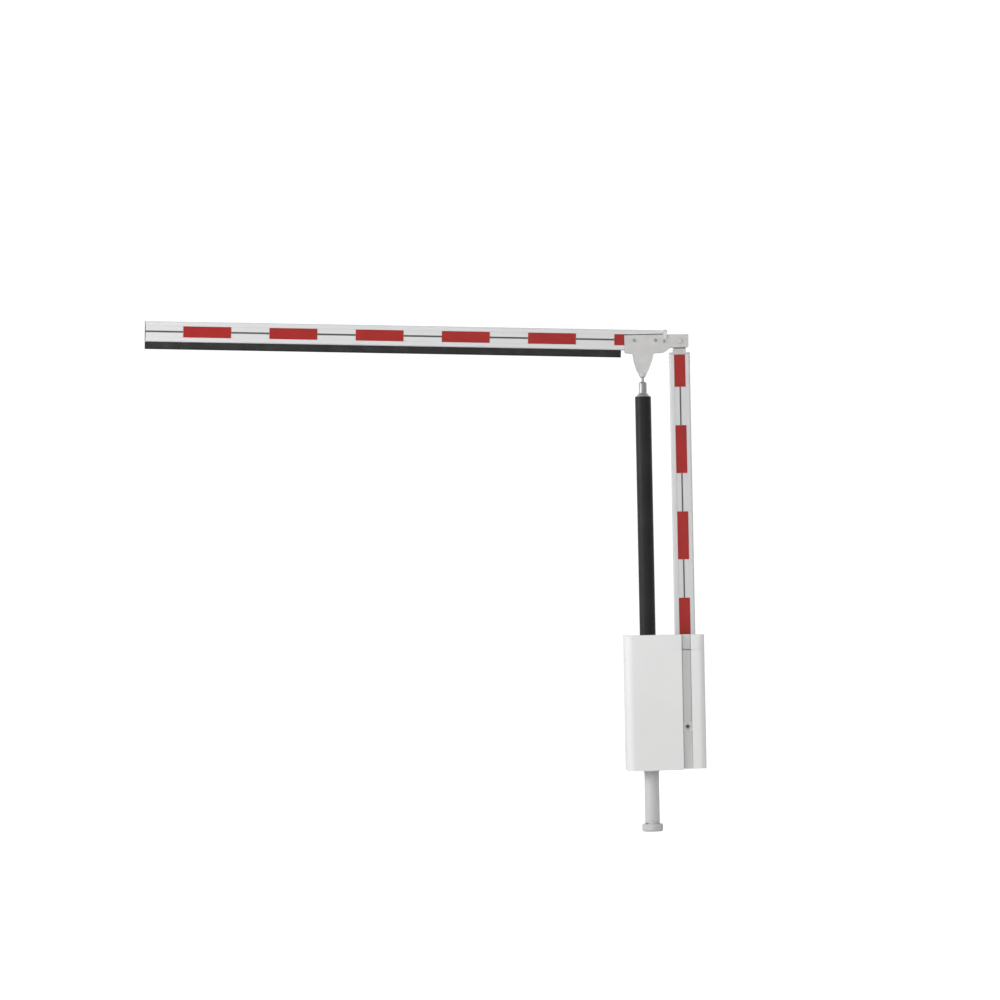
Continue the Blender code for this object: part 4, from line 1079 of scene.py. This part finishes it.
foot_bolts()
finish_cad_nodes()
groove_cover()
groove_lining()
lock_trim()
column_seal()
cabinet_screws()
door_lining()
hinge_screws()
mast_fixings()
gearbox_details()
motor_details()
bearing_details()
spring_anchor()
switch_details()
control_details()
supply_details()
terminal_details()
hub_details()
boom_head_details()
tongue_shade_strips()
slot_shade_strips()
bracket_shade_pad()
bracket_bolts()
pin_clips()
heel_rib()
rubber_plugs()
link_details()


# Floor, light and camera


def staged(name, bm, finish, **visibility):
    mesh = bpy.data.meshes.new(name)
    bm.to_mesh(mesh)
    bm.free()
    mesh.materials.append(finish)
    made = bpy.data.objects.new(name, mesh)
    bpy.context.scene.collection.objects.link(made)
    for ray, seen in visibility.items():
        setattr(made, f"visible_{ray}", seen)


def paper(name, grey, glow):
    """White studio paper, which glows a little where the camera sees it."""
    look = Finish(name, (grey, grey, grey), 0.9, Specular_IOR_Level=0.1)
    look.shader.inputs["Emission Color"].default_value = (1, 1, 1, 1)
    look.shader.inputs["Emission Strength"].default_value = glow
    look.vary(look.noise(3, 3), 0.3, 0.7, 0.99, 1.0)
    return look.done()


def stage():
    """A white floor and surround for the camera, and a plain floor below them that only bounces light."""
    only_camera = {"diffuse": False, "glossy": False, "transmission": False, "shadow": False}
    far, near = 60, 0.5
    floor = bmesh.new()
    lathe(floor, [(far, -0.02), (far, 0.0), (near, 0.0)], LEVEL, 96)
    staged("floor", floor, paper("floor_paper", 0.30, 0.92), **only_camera)
    surround = bmesh.new()
    bmesh.ops.create_uvsphere(surround, u_segments=48, v_segments=24, radius=90)
    staged("surround", surround, paper("surround_paper", 0.0, 1.05), **only_camera)
    bounce = bmesh.new()
    lathe(bounce, [(far, -0.06), (far, -0.03), (near, -0.03)], LEVEL, 96)
    staged("bounce_floor", bounce, paper("bounce_paper", 0.70, 0.0), camera=False)
    backdrop = bmesh.new()
    slab(backdrop, rectangle(90, 30, 0, 14), 0, 0.1, at(FRONT, 0, 14, 0), 0.0)
    staged("backdrop", backdrop, paper("backdrop_paper", 0.0, 1.0), camera=False, diffuse=False, shadow=False)


def world_light():
    world = bpy.data.worlds.new("studio")
    bpy.context.scene.world = world
    world.use_nodes = True
    world.node_tree.nodes["Background"].inputs["Color"].default_value = (1, 1, 1, 1)
    world.node_tree.nodes["Background"].inputs["Strength"].default_value = 0.45


def soft_light(name, place, target, size, power, mirrored=True):
    light = bpy.data.lights.new(name, "AREA")
    light.shape = "RECTANGLE"
    light.size, light.size_y = size
    light.energy = power
    lamp = bpy.data.objects.new(name, light)
    lamp.location = place
    lamp.rotation_euler = (Vector(target) - Vector(place)).to_track_quat("-Z", "Y").to_euler()
    lamp.visible_camera = False
    lamp.visible_glossy = mirrored
    bpy.context.scene.collection.objects.link(lamp)


def camera():
    """A long lens level with the cabinet, leaning so that uprights tip to the left."""
    distance, view_width, lean = 26.0, 5.0, math.radians(1.117)
    eye_height, sensor_width = 1.20, 36
    target = Vector((-0.728, 0.1, 1.665))
    place = Vector((target.x, target.y - distance, eye_height))
    data = bpy.data.cameras.new("camera")
    data.sensor_width = sensor_width
    data.lens = sensor_width * distance / view_width
    data.clip_end = 500
    made = bpy.data.objects.new("camera", data)
    aim = (target - place).to_track_quat("-Z", "Y").to_matrix().to_4x4()
    made.matrix_world = Matrix.Translation(place) @ aim @ Matrix.Rotation(-lean, 4, "Z")
    bpy.context.scene.collection.objects.link(made)
    bpy.context.scene.camera = made


stage()
world_light()
soft_light("key", (-8.0, -3.0, 4.0), (-0.2, 0, 1.3), (4, 4), 450)
soft_light("fill", (0.5, -9.0, 2.5), (0, 0, 1.2), (4, 4), 235, mirrored=False)
soft_light("side", (7.0, -4.0, 2.5), (0, 0, 1.2), (4, 4), 20, mirrored=False)
soft_light("rear", (-1.5, 9.0, 3.5), (0, 0, 1.2), (4, 4), 130, mirrored=False)
camera()
bpy.context.scene.view_settings.view_transform = "Standard"
